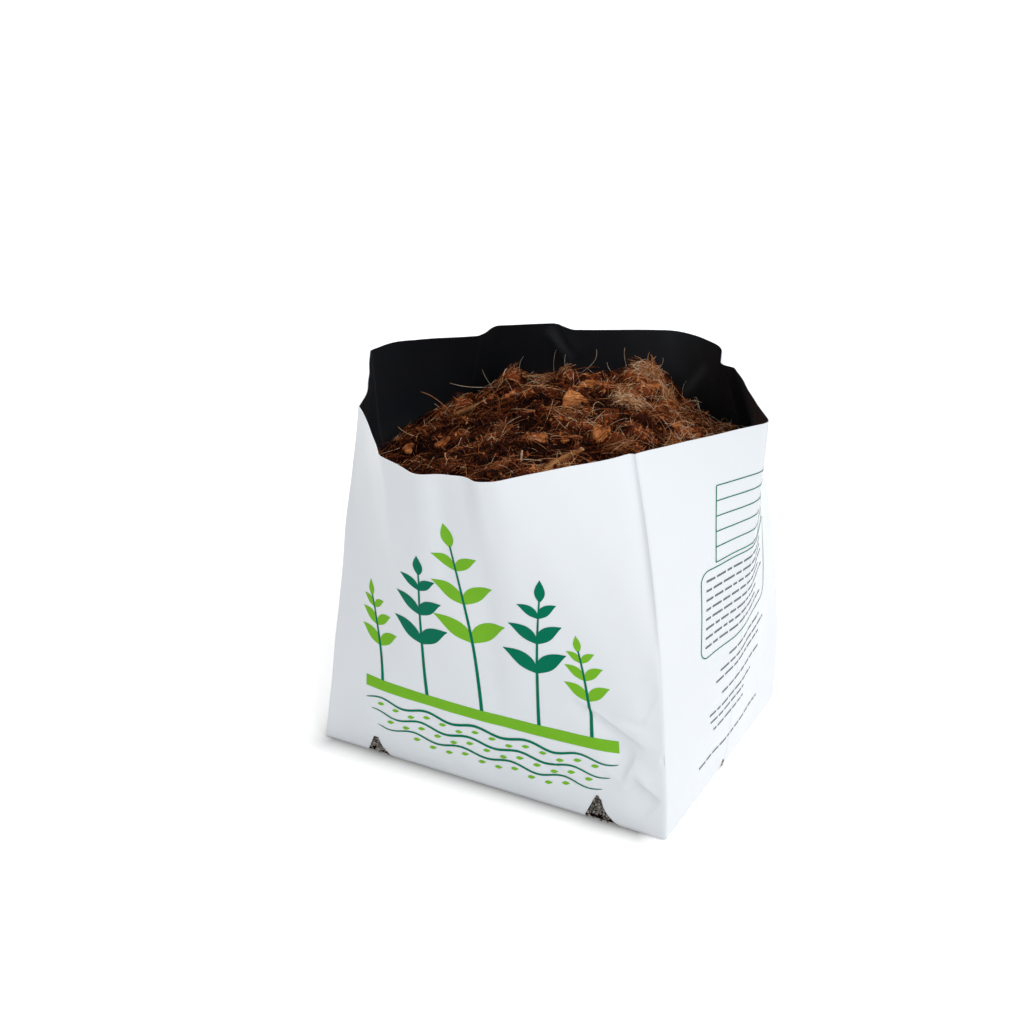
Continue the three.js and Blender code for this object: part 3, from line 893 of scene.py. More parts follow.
gussetPrint = {
    "table": (245, 305, 134, 174),  # s from and to, h from and to
    "tableRows": 5,
    "tableSplit": 287,
    "box": (234, 316, 84, 131.5),
    "boxRound": 6,
    "cornerSteps": 9,
    "line": 0.55,
    "boxLines": (238, 310, 126, 90, 8),  # s from and to, h of the first and last line, number of lines
    # lines of dashes below the box: s where each starts, and h
    "lowLines": [(262, 76), (254, 70), (250, 65), (258, 55), (246, 47), (248, 42), (252, 36), (238, 20)],
    "lowEnd": 318,
    "boxRag": 14,  # the lines end unevenly, by up to this much
    "lowRag": 30,
    "dashTall": 1.15,
    "dashLong": (3.0, 9.0),
    "dashLeast": 1,
    "dashGap": 1.5,
    "seed": 21,
}


# A row of plain dashes of uneven length
def dashRow(rng, start, end, h):
    patches = []
    at = start
    while at < end:
        stop = min(at + rng.uniform(*gussetPrint["dashLong"]), end)
        if stop - at > gussetPrint["dashLeast"]:
            patches.append(strokePatch(straightLine(at, h, stop, h), gussetPrint["dashTall"]))
        at = stop + gussetPrint["dashGap"]
    return patches


# The gusset: a ruled table, a frame with quarter circles at its corners, and rows of dashes in and below it
def printGusset():
    rng = np.random.default_rng(gussetPrint["seed"])
    rules, dashes = [], []
    width = gussetPrint["line"]
    s0, s1, h0, h1 = gussetPrint["table"]
    for h in np.linspace(h0, h1, gussetPrint["tableRows"] + 1):
        rules.append(strokePatch(straightLine(s0, h, s1, h), width))
    for s in (s0, gussetPrint["tableSplit"], s1):
        rules.append(strokePatch(straightLine(s, h0, s, h1), width))
    s0, s1, h0, h1 = gussetPrint["box"]
    r = gussetPrint["boxRound"]
    turn = np.linspace(0, np.pi / 2, gussetPrint["cornerSteps"])
    corners = [(s1 - r, h1 - r, 0), (s0 + r, h1 - r, 1), (s0 + r, h0 + r, 2), (s1 - r, h0 + r, 3)]
    bends = [np.stack([s + r * np.cos(turn + q * np.pi / 2), h + r * np.sin(turn + q * np.pi / 2)], -1)
             for s, h, q in corners]
    for here, after in zip(bends, bends[1:] + bends[:1]):
        rules.append(strokePatch(here, width))
        rules.append(strokePatch(straightLine(*here[-1], *after[0]), width))
    start, end, top, bottom, count = gussetPrint["boxLines"]
    for h in np.linspace(top, bottom, count):
        dashes += dashRow(rng, start, end - rng.uniform(0, gussetPrint["boxRag"]), h)
    for start, h in gussetPrint["lowLines"]:
        end = gussetPrint["lowEnd"] - rng.uniform(0, gussetPrint["lowRag"])
        dashes += dashRow(rng, start, end, h)
    return rules, dashes


# Heap of coir: a ridge from front to back with a rounded rise or hollow at each lump
heap = {
    "crest": film["height"] - 26,  # its highest line lies this far below the rim
    "crestX": 10,
    "fall": 25,  # drop of the heap half a bag width from its crest line
    # clumps and hollows: x, y, rise, reach
    "clumps": [
        (-53, 54, 8, 9),
        (-32, 70, 4, 7),
        (8, 78, 4, 14),
        (21, 84, 6, 6),
        (56, 80, -13, 12),
        (37, 84, -3, 6),
        (-42, 61, -5, 5),
        (-66, 54, -3, 6),
        (-84, 30, 3, 16),
        (-10, 76, -2, 9),
        (-62, -20, 4, 14),
        (0, -75, 6, 30),
        (58, -8, 4, 18),
        (-18, 2, 5, 22),
        (34, 22, 5, 18),
    ],
    "clods": 72,
    "spread": 108,
    "middle": (0, -8),
    "clodRise": (1.2, 3.6),
    "clodReach": (5, 8.5),
    "gap": 0.6,  # from the film's outer face to the coir
    "stations": 520,
    "wallRows": 16,
    "topRings": 84,
    "standBack": 2.6,  # how much further the coir stands from the film halfway up
    "standPower": 16,
    "turnRows": 3,
    "calmEdge": 0.05,  # share of the way in from the film over which the top gets crumbly
    # the map adds painted shade and light as well as tones
    "tone": 0.12,  # before the map of tones is added
    # search for the line where it meets the film: tries, share of the way taken in each, lowest h and least
    # distance below the rim
    "contact": (14, 0.7, 100, 2),
}


# The clods of the heap lie on a spiral of golden angles, at the square root of their share of the number, and
# every third one is a hollow
def heapLumps():
    golden = (np.sqrt(5) - 1) / 2
    i = np.arange(heap["clods"])
    radius = heap["spread"] * np.sqrt((i + 0.5) / heap["clods"])
    angle = i * 2 * np.pi * (1 - golden)
    rise = np.interp((i * golden) % 1, [0, 1], heap["clodRise"]) * np.where(i % 3 == 0, -1, 1)
    reach = np.interp((i * np.sqrt(2)) % 1, [0, 1], heap["clodReach"])
    x, y = heap["middle"][0] + radius * np.cos(angle), heap["middle"][1] + radius * np.sin(angle)
    return np.concatenate([np.array(heap["clumps"], float), np.stack([x, y, rise, reach], -1)])


lumps = heapLumps()


# Height of the heap: its crest, less the fall times the square of the share of half a width from the crest
# line, plus a bell for each lump
def heapTop(x, y):
    away = (x[..., None] - lumps[:, 0]) ** 2 + (y[..., None] - lumps[:, 1]) ** 2
    ridge = heap["fall"] * ((x - heap["crestX"]) / (film["width"] / 2)) ** 2
    return heap["crest"] - ridge + (lumps[:, 2] * np.exp(-away / (2 * lumps[:, 3] ** 2))).sum(-1)


# Values between the lines of a lattice: line numbers i and j, and shares f and g of the way to the next
def between(values, i, j, f, g):
    low = values[i, j] * (1 - f) + values[i + 1, j] * f
    high = values[i, j + 1] * (1 - f) + values[i + 1, j + 1] * f
    return low * (1 - g) + high * g


latticeLines = 128


# Value noise: random heights on a square lattice, blended by a smooth step between its lines
def softNoise(x, y, cell, seed):
    heights = np.random.default_rng(seed).uniform(-1, 1, (latticeLines, latticeLines))
    u, v = x / cell + latticeLines / 2, y / cell + latticeLines / 2
    i, j = np.floor(u).astype(int), np.floor(v).astype(int)
    cells = latticeLines - 1
    return between(heights, i % cells, j % cells, smoothStep(u - i, 0, 1), smoothStep(v - j, 0, 1))


# The crumbly top of the coir, as maps over the heap: round clods of every size lie over each other and
# each place takes the highest one, then hollows and a fine roughness are added
crumble = {
    "cell": 1.0,
    "low": (-110, -126),
    "lines": (226, 226),
    "sink": 2.8,  # the ground between the clods lies this far below the heap
    "clods": 900,
    "radius": (2.2, 7.0),
    "radiusPower": 2,
    "round": 0.66,  # height of a clod as a share of its radius
    # hollows between the clods: x, y, depth, reach
    "hollows": [
        (-24, 22, 2.6, 8),
        (-4, 27, 3.0, 8),
        (15, 35, 2.6, 8),
        (-32, -8, 2.4, 8),
        (-17, -12, 2, 8),
        (-54, 6, 1.8, 9),
    ],
    "rough": [(4.2, 0.7, 4), (2.1, 0.45, 5)],  # size of the lumps, height, seed
    "toneSpread": 0.12,
    # painted light and shade: the coir is lighter towards the back right, where the key light falls, and
    # darker in its low places and hollows
    "paintedLightRise": 0.0020,  # tone gained by a millimetre towards the back right
    "paintedShadeDepth": 0.11,  # tone gained by a millimetre of height over the mean
    "blur": 10,  # rounds of smoothing for the broad map
    "seed": 5,
}


# Three maps: heights, heights smoothed over a few millimetres, and tones, with painted light towards the back
# right and painted shade in the hollows. The height of a clod is its roundness times the square root of
# radius squared - distance squared.
def crumbleMaps():
    rng = np.random.default_rng(crumble["seed"])
    lines = [low + crumble["cell"] * np.arange(count) for low, count in zip(crumble["low"], crumble["lines"])]
    x, y = np.meshgrid(*lines, indexing="ij")
    lift, toneAndShade = np.zeros(x.shape), np.zeros(x.shape)
    count = crumble["clods"]
    clodX, clodY = rng.uniform(*lines[0][[0, -1]], count), rng.uniform(*lines[1][[0, -1]], count)
    reach = skewed(rng, crumble["radius"], crumble["radiusPower"], count)
    tones = rng.normal(0, crumble["toneSpread"], count)
    for midX, midY, radius, tone in zip(clodX, clodY, reach, tones):
        cap = np.maximum(1 - ((x - midX) ** 2 + (y - midY) ** 2) / radius**2, 0)
        height = crumble["round"] * radius * np.sqrt(cap)
        toneAndShade = np.where(height > lift, tone, toneAndShade)
        lift = np.maximum(lift, height)
    level = lift.mean()
    for midX, midY, deep, radius in crumble["hollows"]:
        lift -= deep * np.exp(-((x - midX) ** 2 + (y - midY) ** 2) / (2 * radius**2))
    toneAndShade += crumble["paintedLightRise"] * (x + y) + crumble["paintedShadeDepth"] * (lift - level)
    for cell, height, seed in crumble["rough"]:
        lift += height * softNoise(x, y, cell, seed)
    heights = heapTop(x, y) - crumble["sink"] + lift
    broad = heights
    for _ in range(crumble["blur"]):
        beside = [np.roll(broad, shift, axis) for axis in (0, 1) for shift in (-1, 1)]
        broad = (broad + sum(beside)) / (1 + len(beside))
    return heights, broad, toneAndShade


heightMap, broadMap, toneAndShadeMap = crumbleMaps()


# Value of a map at any place, from the four lines round it
def fromMap(values, x, y):
    u = np.clip((x - crumble["low"][0]) / crumble["cell"], 0, crumble["lines"][0] - insideLast)
    v = np.clip((y - crumble["low"][1]) / crumble["cell"], 0, crumble["lines"][1] - insideLast)
    i, j = u.astype(int), v.astype(int)
    return between(values, i, j, u - i, v - j)


# Height of the film at which the ground of the heap meets the wall, found by stepping towards it
def contactHeight(s):
    tries, share, lowest, below = heap["contact"]
    h = np.full(len(s), heap["crest"])
    for _ in range(tries):
        wall = filmPoint(s, h, heap["gap"])
        ground = heapTop(wall[:, 0], wall[:, 1]) - crumble["sink"]
        h = np.clip(h + share * (ground - wall[:, 2]), lowest, film["height"] - below)
    return h


# The coir under the heap: up behind the film to the contact line, standing back by the full distance times
# 1 - (2 share - 1) to a high power, then over the crumbly top
def makeBed():
    s = np.linspace(0, perimeter, heap["stations"], endpoint=False)[None]
    contact = contactHeight(s[0])[None]
    gap = heap["gap"]
    radius = film["baseTurn"] - gap
    angle = np.linspace(0, np.pi / 2, heap["turnRows"])[:, None]
    turn = filmPoint(s, gap + radius * (1 - np.cos(angle)), gap + radius * (1 - np.sin(angle)))
    share = (np.arange(1, heap["wallRows"] + 1) / heap["wallRows"])[:, None] ** 2
    inset = gap + heap["standBack"] * (1 - (2 * share - 1) ** heap["standPower"])
    wall = filmPoint(s, film["baseTurn"] + share * (contact - film["baseTurn"]), inset)
    middle = np.array(heap["middle"], float)
    inward = np.linspace(1, 0, heap["topRings"], endpoint=False)[1:, None, None]
    spread = middle + inward * (wall[-1][None, :, :2] - middle)
    rough = smoothStep(1 - inward[..., 0], 0, heap["calmEdge"])
    ground = heapTop(spread[..., 0], spread[..., 1]) - crumble["sink"]
    z = ground + rough * (fromMap(heightMap, spread[..., 0], spread[..., 1]) - ground)
    top = np.concatenate([spread, z[..., None]], -1)
    peak = fromMap(heightMap, middle[:1], middle[1:])[0]
    points, faces = loft(np.concatenate([turn, wall, top]), (0, 0, gap), (*middle, peak))
    piece = newPiece("coirBed", points, faces, [coirBedFinish])
    # tones with painted shade in the hollows and painted light towards the back right
    giveValue(piece, "tone", np.clip(heap["tone"] + fromMap(toneAndShadeMap, points[:, 0], points[:, 1]), 0, 1))
    settle(piece, "coir", "coir_fill")


# Room in the bag: how far the film stands from the middle of the heap, by height and direction
room = {
    "stations": 1400,
    "directions": 720,
    "lowest": 130,
    "step": 2.0,
    "clear": 1.3,  # what stays free before the film's outer face
    "draws": 3,  # places drawn for each one that is wanted
}
roomHeights = np.arange(room["lowest"], film["height"] + room["step"], room["step"])
roomDirections = np.linspace(-np.pi, np.pi, room["directions"] + 1)


# Distance in x and y from the middle of the heap
def fromMiddle(x, y):
    return x - heap["middle"][0], y - heap["middle"][1]


# The film's distance in even directions, a row for each height
def roomTable():
    s = np.linspace(0, perimeter, room["stations"], endpoint=False)
    wall = filmPoint(s[None], np.minimum(roomHeights, film["height"])[:, None], room["clear"])
    dx, dy = fromMiddle(wall[..., 0], wall[..., 1])
    direction, reach = np.arctan2(dy, dx), np.hypot(dx, dy)
    rows = []
    for d, r in zip(direction, reach):
        order = np.argsort(d)
        rows.append(np.interp(roomDirections, d[order], r[order], period=2 * np.pi))
    return np.array(rows)


roomReach = roomTable()


# The film's distance in the direction of a place, at its height
def roomAt(x, y, z):
    dx, dy = fromMiddle(x, y)
    u = np.clip((z - room["lowest"]) / room["step"], 0, len(roomHeights) - insideLast)
    v = (np.arctan2(dy, dx) + np.pi) / (2 * np.pi) * room["directions"]
    i, j = np.floor(u).astype(int), np.floor(v).astype(int)
    return between(roomReach, i, j % room["directions"], u - i, v - j)


# Draws points that would stand in the film back to just inside it
def keepInside(points):
    dx, dy = fromMiddle(points[..., 0], points[..., 1])
    reach = np.maximum(np.hypot(dx, dy), tiny)
    share = np.minimum(1, roomAt(*np.moveaxis(points, -1, 0)) / reach)
    points[..., 0] = heap["middle"][0] + dx * share
    points[..., 1] = heap["middle"][1] + dy * share
    return points


# Random places on the heap, even over its area and no closer to the film than the edge
def heapPlaces(rng, count, edge):
    (lowX, lowY), (manyX, manyY) = crumble["low"], crumble["lines"]
    x = rng.uniform(lowX, lowX + manyX * crumble["cell"], count * room["draws"])
    y = rng.uniform(lowY, lowY + manyY * crumble["cell"], count * room["draws"])
    inside = np.hypot(*fromMiddle(x, y)) < roomAt(x, y, heapTop(x, y)) - edge
    return x[inside][:count], y[inside][:count]


# Corners and faces of a regular twenty-sided crumb
def crumbForm():
    ring = np.arange(5) * 2 * np.pi / 5
    level, reach = 1 / np.sqrt(5), 2 / np.sqrt(5)
    low = np.stack([reach * np.cos(ring), reach * np.sin(ring), np.full(5, -level)], -1)
    high = low @ np.diag([-1, -1, -1])
    points = np.concatenate([[(0, 0, -1)], low, high, [(0, 0, 1)]])
    i = np.arange(5)
    beside = (i + 1) % 5
    faces = [
        np.stack([0 * i, 1 + beside, 1 + i], -1),
        np.stack([1 + i, 1 + beside, 6 + i], -1),
        np.stack([1 + beside, 6 + beside, 6 + i], -1),
        np.stack([0 * i + 11, 6 + i, 6 + beside], -1),
    ]
    return points, np.concatenate(faces)


# Turning matrices from angles: first a roll about x, then a pitch about y, then a heading about z
def turnings(roll, pitch, heading):
    turned = np.eye(3)
    for angle, (a, b) in ((roll, (1, 2)), (pitch, (2, 0)), (heading, (0, 1))):
        turn = np.tile(np.eye(3), (len(angle), 1, 1))
        turn[:, a, a] = turn[:, b, b] = np.cos(angle)
        turn[:, b, a] = np.sin(angle)
        turn[:, a, b] = -np.sin(angle)
        turned = turn @ turned
    return turned


# Many uneven crumbs: one form, its corners drawn in or out by chance, scaled, turned and put in place
def crumbs(rng, places, sizes, turns, uneven):
    form, faces = crumbForm()
    count = len(places)
    pull = 1 + uneven * rng.uniform(-1, 1, (count, len(form), 1))
    body = form[None] * pull * sizes[:, None, :]
    points = np.einsum("nij,nkj->nki", turns, body) + places[:, None, :]
    allFaces = faces[None] + (np.arange(count) * len(form))[:, None, None]
    return points, allFaces.reshape(-1, 3), body


# A piece of many crumbs, each with its own tone
def newCrumbs(name, points, faces, finish, tone):
    piece = newPiece(name, points.reshape(-1, 3), [faces], [finish], smooth=False)
    giveValue(piece, "tone", np.repeat(tone, points.shape[1]))
    return piece


# Tones drawn by chance that also follow the map of tones, with its painted shade and light
def mappedTones(rng, lay, x, y):
    return rng.normal(*lay["tone"], len(x)) + lay["toneAndShadeShare"] * fromMap(toneAndShadeMap, x, y)


crumbLay = {
    "count": 8000,
    "edge": 1.5,
    "radius": (0.34, 0.32, 1.8),  # least radius, scale of the spread, most
    "flat": [(0.35, 0.9), (0.7, 1.2), (0.9, 2.1)],  # spread of the three half axes as shares of the radius
    "stand": (-0.2, 0.6),  # how far the middles stand over the heap, as a share of the radius
    "uneven": 0.36,
    "tone": (0.32, 0.23),  # middle and spread
    "toneRange": (0.02, 0.95),
    # the clods' map carries painted shade and light, which the crumbs, slivers and fibres take on too
    "toneAndShadeShare": 1.2,  # how far the tones follow those of the clods
    "seed": 11,
}


# Loose crumbs all over the heap, turned every way
def makeCrumbs():
    rng = np.random.default_rng(crumbLay["seed"])
    x, y = heapPlaces(rng, crumbLay["count"], crumbLay["edge"])
    count = len(x)
    least, spread, most = crumbLay["radius"]
    radius = np.minimum(least + rng.exponential(spread, count), most)
    z = fromMap(heightMap, x, y) + radius * rng.uniform(*crumbLay["stand"], count)
    sizes = radius[:, None] * rng.uniform(*np.array(crumbLay["flat"]).T, (count, 3))
    turns = turnings(*rng.uniform(0, 2 * np.pi, (3, count)))
    points, faces, _ = crumbs(rng, np.stack([x, y, z], -1), sizes, turns, crumbLay["uneven"])
    tone = np.clip(mappedTones(rng, crumbLay, x, y), *crumbLay["toneRange"])
    settle(newCrumbs("coirCrumbs", keepInside(points), faces, coirCrumbFinish, tone), "coir")


notchCoir = {
    "count": 120,  # crumbs behind each notch
    "radius": (0.5, 1.6),
    "radiusPower": 1.5,
    # distances as shares of a crumb's radius: from the flanks, in behind the film's face where a crumb fits,
    # in behind the film where it doesn't, and up from the base
    "fromFlank": 1.3,
    "inward": (0.5, 1.6),
    "behind": 1.5,
    "fromBase": 1.4,
    "tone": (0.72, 0.17),
    # painted shade towards the tip of each notch, deep under the film
    "tipShade": -0.5,  # darker towards the tip
    "seed": 13,
}


# Dry crumbs that fill the notches: those that fit between the flanks stand up to the film's face, the
# others stay behind it
def makeNotchCoir():
    rng = np.random.default_rng(notchCoir["seed"])
    count = notchCoir["count"]
    spots, sizes, tones = [], [], []
    for s, width, height in notches["places"]:
        (cornerX, cornerY), (dx, dy), at = baseEdge(s)
        tip, blunt = -notches["lean"] * width, notches["tip"] * width / 2
        radius = skewed(rng, notchCoir["radius"], notchCoir["radiusPower"], count)
        share = rng.random(count)
        aside = notchCoir["fromFlank"] * radius
        left = -width / 2 + (tip - blunt + width / 2) * share + aside
        right = tip + blunt + (width / 2 - tip - blunt) * (1 - share) ** 2 - aside
        fits = right > left
        along = at + np.where(fits, left + (right - left) * rng.random(count), (left + right) / 2)
        behind = notchCoir["behind"] * radius + film["wall"]
        inward = np.where(fits, rng.uniform(*notchCoir["inward"], count) * radius, behind)
        x, y = cornerX + dx * along - dy * inward, cornerY + dy * along + dx * inward
        spots.append(np.stack([x, y, notchCoir["fromBase"] * radius + share * height], -1))
        sizes.append(radius)
        # darker towards the tip: painted shade
        tones.append(rng.normal(*notchCoir["tone"], count) + notchCoir["tipShade"] * share**2)
    places, radius = np.concatenate(spots), np.concatenate(sizes)
    turns = turnings(*rng.uniform(0, 2 * np.pi, (3, len(places))))
    points, faces, _ = crumbs(rng, places, radius[:, None] * np.ones(3), turns, crumbLay["uneven"])
    tone = np.clip(np.concatenate(tones), 0, 1)
    settle(newCrumbs("notchCoir", points, faces, coirDustFinish, tone), "coir")


sliverLay = {
    "count": 2600,
    "edge": 3,
    "long": (1.0, 4.5),  # half length
    "longPower": 2.2,
    "wide": (0.20, 0.7),  # half width
    "widen": (0.7, 0.12),  # times this, and this much more for each millimetre of half length
    "thick": (0.15, 0.4),
    "pitch": 0.4,  # spread of the angles at which they stand up and roll over
    "roll": 0.5,
    "uneven": 0.3,
    "lift": (-0.6, 1.4),
    "tone": (0.34, 0.24),
    "toneRange": (0.02, 1),
    "toneAndShadeShare": 1.6,
    "seed": 12,
}


# Splinters and flakes of husk between the crumbs
def makeSlivers():
    rng = np.random.default_rng(sliverLay["seed"])
    x, y = heapPlaces(rng, sliverLay["count"], sliverLay["edge"])
    count = len(x)
    long = skewed(rng, sliverLay["long"], sliverLay["longPower"], count)
    slim, gain = sliverLay["widen"]
    wide = rng.uniform(*sliverLay["wide"], count) * (slim + gain * long)
    sizes = np.stack([wide, rng.uniform(*sliverLay["thick"], count), long], -1)
    heading = rng.uniform(0, 2 * np.pi, count)
    flat = 0 * heading
    turns = turnings(flat, np.pi / 2 + rng.normal(0, sliverLay["pitch"], count), heading)
    turns = turns @ turnings(flat, flat, rng.normal(0, sliverLay["roll"], count) + np.pi / 2)
    z = fromMap(broadMap, x, y) + rng.uniform(*sliverLay["lift"], count)
    points, faces, body = crumbs(rng, np.stack([x, y, z], -1), sizes, turns, sliverLay["uneven"])
    tone = np.clip(mappedTones(rng, sliverLay, x, y), *sliverLay["toneRange"])
    piece = newCrumbs("huskSlivers", keepInside(points), faces, huskFinish, tone)
    giveGrain(piece, np.stack([body[..., 2], body[..., 0]], -1).reshape(-1, 2))
    settle(piece, "husk")


# Tubes along many paths: rings of points square to each path, with a face that closes each end
def tubes(rng, paths, radius, sides):
    count, steps = paths.shape[:2]
    along = np.gradient(paths, axis=1)
    along /= np.linalg.norm(along, axis=-1, keepdims=True) + tiny
    aside = np.cross(along, rng.normal(size=(count, 1, 3)))
    aside /= np.linalg.norm(aside, axis=-1, keepdims=True) + tiny
    above = np.cross(along, aside)
    angle = np.arange(sides) * 2 * np.pi / sides
    ring = aside[:, :, None] * np.cos(angle)[:, None] + above[:, :, None] * np.sin(angle)[:, None]
    points = paths[:, :, None] + ring * radius[:, :, None, None]
    side = gridFaces(steps, sides, closed=True)
    ends = np.stack([np.arange(sides)[::-1], (steps - 1) * sides + np.arange(sides)])
    first = (np.arange(count) * steps * sides)[:, None, None]
    faces = [(form[None] + first).reshape(-1, form.shape[1]) for form in (side, ends)]
    return points.reshape(-1, 3), faces


# What all fibres share
fibreForm = {
    "edge": 2,
    "longPower": 1.8,  # above one, more of them are short
    "waves": (0.6, 2.2),  # number of sways along a fibre
    "tip": 0.4,  # thickness of the ends as a share
    "blunt": 0.06,  # share of the length at either end that thins no further
    "sides": 3,
    "palest": 0.93,  # tone that fibres in the mass don't pass
}


# Paths over the heap: the heading turns evenly and sways, and the height runs straight from one end to the
# other, each lifted off the heap by its own amount, with an arch between
def heapPaths(rng, x, y, heading, length, bend, sway, lift, arch, steps):
    count = len(x)
    t = np.linspace(-0.5, 0.5, steps)[None]
    wave = np.sin(2 * np.pi * (t * rng.uniform(*fibreForm["waves"], (count, 1)) + rng.random((count, 1))))
    angle = heading[:, None] + bend[:, None] * t + sway[:, None] * wave
    step = length[:, None] / (steps - 1)
    px = np.cumsum(np.cos(angle) * step, 1)
    py = np.cumsum(np.sin(angle) * step, 1)
    px += x[:, None] - px[:, steps // 2, None]
    py += y[:, None] - py[:, steps // 2, None]
    share = t + 0.5
    ends = [fromMap(broadMap, px[:, k], py[:, k]) + lift[k] for k in (0, -1)]
    z = ends[0][:, None] * (1 - share) + ends[1][:, None] * share + arch[:, None] * 4 * share * (1 - share)
    return keepInside(np.stack([px, py, z], -1))


# Thin towards both ends, by the square root of the sine of the share along
def taperedRadius(radius, steps):
    tip, blunt = fibreForm["tip"], fibreForm["blunt"]
    share = np.clip(np.linspace(0, 1, steps)[None], blunt, 1 - blunt)
    return radius[:, None] * (tip + (1 - tip) * np.sin(np.pi * share) ** 0.5)


# A piece of many fibres, each with its own tone
def newFibres(name, points, faces, tone):
    piece = newPiece(name, points, faces, [coirFibreFinish])
    giveValue(piece, "tone", np.repeat(tone, len(points) // len(tone)))
    settle(piece, "coir")


# Layers of fibre; the lift off the heap is given for either end
fibreLays = {
    "coirFibresFine": {
        "count": 4300, "long": (2.5, 12), "radius": (0.07, 0.15), "steps": 7, "bend": 0.5, "sway": 0.10,
        "lift": [(-1.4, 2.0), (-1.4, 2.0)], "arch": 0.4, "tone": (0.36, 0.33), "toneAndShadeShare": 1.4, "seed": 31,
    },
    "coirFibresLong": {
        "count": 800, "long": (8, 26), "radius": (0.09, 0.17), "steps": 13, "bend": 0.6, "sway": 0.06,
        "lift": [(-1.0, 3.6), (-1.0, 3.6)], "arch": 1.3, "tone": (0.44, 0.32), "toneAndShadeShare": 1.4, "seed": 32,
    },
    "coirFibresLoose": {
        "count": 800, "long": (4, 15), "radius": (0.09, 0.13), "steps": 8, "bend": 0.7, "sway": 0.03,
        "lift": [(-1.5, 0.5), (0.5, 6.0)], "arch": 0.7, "tone": (0.60, 0.24), "toneAndShadeShare": 1.8, "seed": 33,
    },
}


# One layer: fibres laid every way over the heap
def makeFibres(name):
    lay = fibreLays[name]
    rng = np.random.default_rng(lay["seed"])
    x, y = heapPlaces(rng, lay["count"], fibreForm["edge"])
    count = len(x)
    length = skewed(rng, lay["long"], fibreForm["longPower"], count)
    heading = rng.uniform(0, 2 * np.pi, count)
    bend = rng.normal(0, lay["bend"], count)
    sway = rng.normal(0, lay["sway"], count)
    low, high = np.array(lay["lift"]).T[..., None]
    lift = rng.uniform(low, high, (2, count))
    arch = rng.exponential(lay["arch"], count)
    paths = heapPaths(rng, x, y, heading, length, bend, sway, lift, arch, lay["steps"])
    radius = taperedRadius(rng.uniform(*lay["radius"], count), lay["steps"])
    points, faces = tubes(rng, paths, radius, fibreForm["sides"])
    newFibres(name, points, faces, np.clip(mappedTones(rng, lay, x, y), 0, fibreForm["palest"]))


tufts = {
    # tufts of combed fibre: x, y, heading in degrees, length, number of fibres, width, tone, how far the
    # loose ends stand off the heap at most
    "places": [
        (-41, 68, 200, 18, 110, 5, 0.78, 4.5),
        (-53, 53, 35, 18, 100, 6, 0.60, 7),
        (20, 45, 205, 22, 150, 7, 0.84, 4),
        (12, 52, 60, 18, 80, 5, 0.72, 3.4),
        (16, 76, 195, 22, 130, 6, 0.76, 5.5),
        (29, 72, 150, 18, 90, 5, 0.80, 5),
        (-10, 22, 120, 18, 60, 5, 0.50, 3.4),
        (-26, -14, 65, 18, 60, 5, 0.45, 3.4),
        (40, -6, 20, 22, 80, 6, 0.56, 3.4),
        (58, 16, 100, 20, 80, 6, 0.62, 3.4),
        (70, 2, 70, 18, 60, 5, 0.56, 3.4),
        (-70, 0, 30, 18, 60, 5, 0.42, 3.4),
        (-44, 14, 160, 18, 60, 6, 0.42, 3.4),
        (-2, -60, 40, 20, 60, 5, 0.50, 3.4),
        (-32, -56, 140, 18, 60, 5, 0.45, 3.4),
        (30, -58, 15, 18, 60, 5, 0.55, 3.4),
        (50, 40, 130, 16, 60, 5, 0.60, 3.4),
        (2, 6, 25, 18, 60, 5, 0.52, 3.4),
        (25, -40, 80, 34, 80, 9, 0.62, 3.4),
        (-70, 17, 130, 12, 50, 4, 0.32, 3.4),
        (-30, 71, 60, 12, 50, 6, 0.7, 4.5),
    ],
    "aside": 0.4,  # spread of the fibres across the tuft, as a share of its width
    "ahead": 0.16,  # and along it, as a share of its length
    "long": (0.25, 0.8),  # length of a fibre as a share of the tuft's
    "fan": 0.75,  # spread of the headings
    "radius": (0.09, 0.19),
    "lowest": -1.0,  # lift of the ends that lie deepest
    "rootLift": 2.0,  # highest lift of the end where a fibre starts
    "arch": 0.7,
    "bend": 0.4,
    "sway": 0.10,
    "toneSpread": 0.22,
    "steps": 9,
    "seed": 41,
}


# Tufts: fibres laid together about one heading
def makeTufts():
    rng = np.random.default_rng(tufts["seed"])
    table = np.array(tufts["places"], float)
    row = np.repeat(np.arange(len(table)), table[:, 4].astype(int))
    count = len(row)
    heading = np.radians(table[row, 2])
    aside = rng.normal(0, tufts["aside"], count) * table[row, 5]
    ahead = rng.normal(0, tufts["ahead"], count) * table[row, 3]
    x = table[row, 0] + ahead * np.cos(heading) - aside * np.sin(heading)
    y = table[row, 1] + ahead * np.sin(heading) + aside * np.cos(heading)
    length = table[row, 3] * rng.uniform(*tufts["long"], count)
    turn = heading + rng.normal(0, tufts["fan"], count)
    highest = np.stack([np.full(count, tufts["rootLift"]), table[row, 7]])
    lift = rng.uniform(tufts["lowest"], highest, (2, count))
    arch = rng.exponential(tufts["arch"], count)
    bend, sway = rng.normal(0, tufts["bend"], count), rng.normal(0, tufts["sway"], count)
    paths = heapPaths(rng, x, y, turn, length, bend, sway, lift, arch, tufts["steps"])
    radius = taperedRadius(rng.uniform(*tufts["radius"], count), tufts["steps"])
    points, faces = tubes(rng, paths, radius, fibreForm["sides"])
    tone = table[row, 6] + rng.normal(0, tufts["toneSpread"], count)
    newFibres("coirTufts", points, faces, np.clip(tone, 0, fibreForm["palest"]))


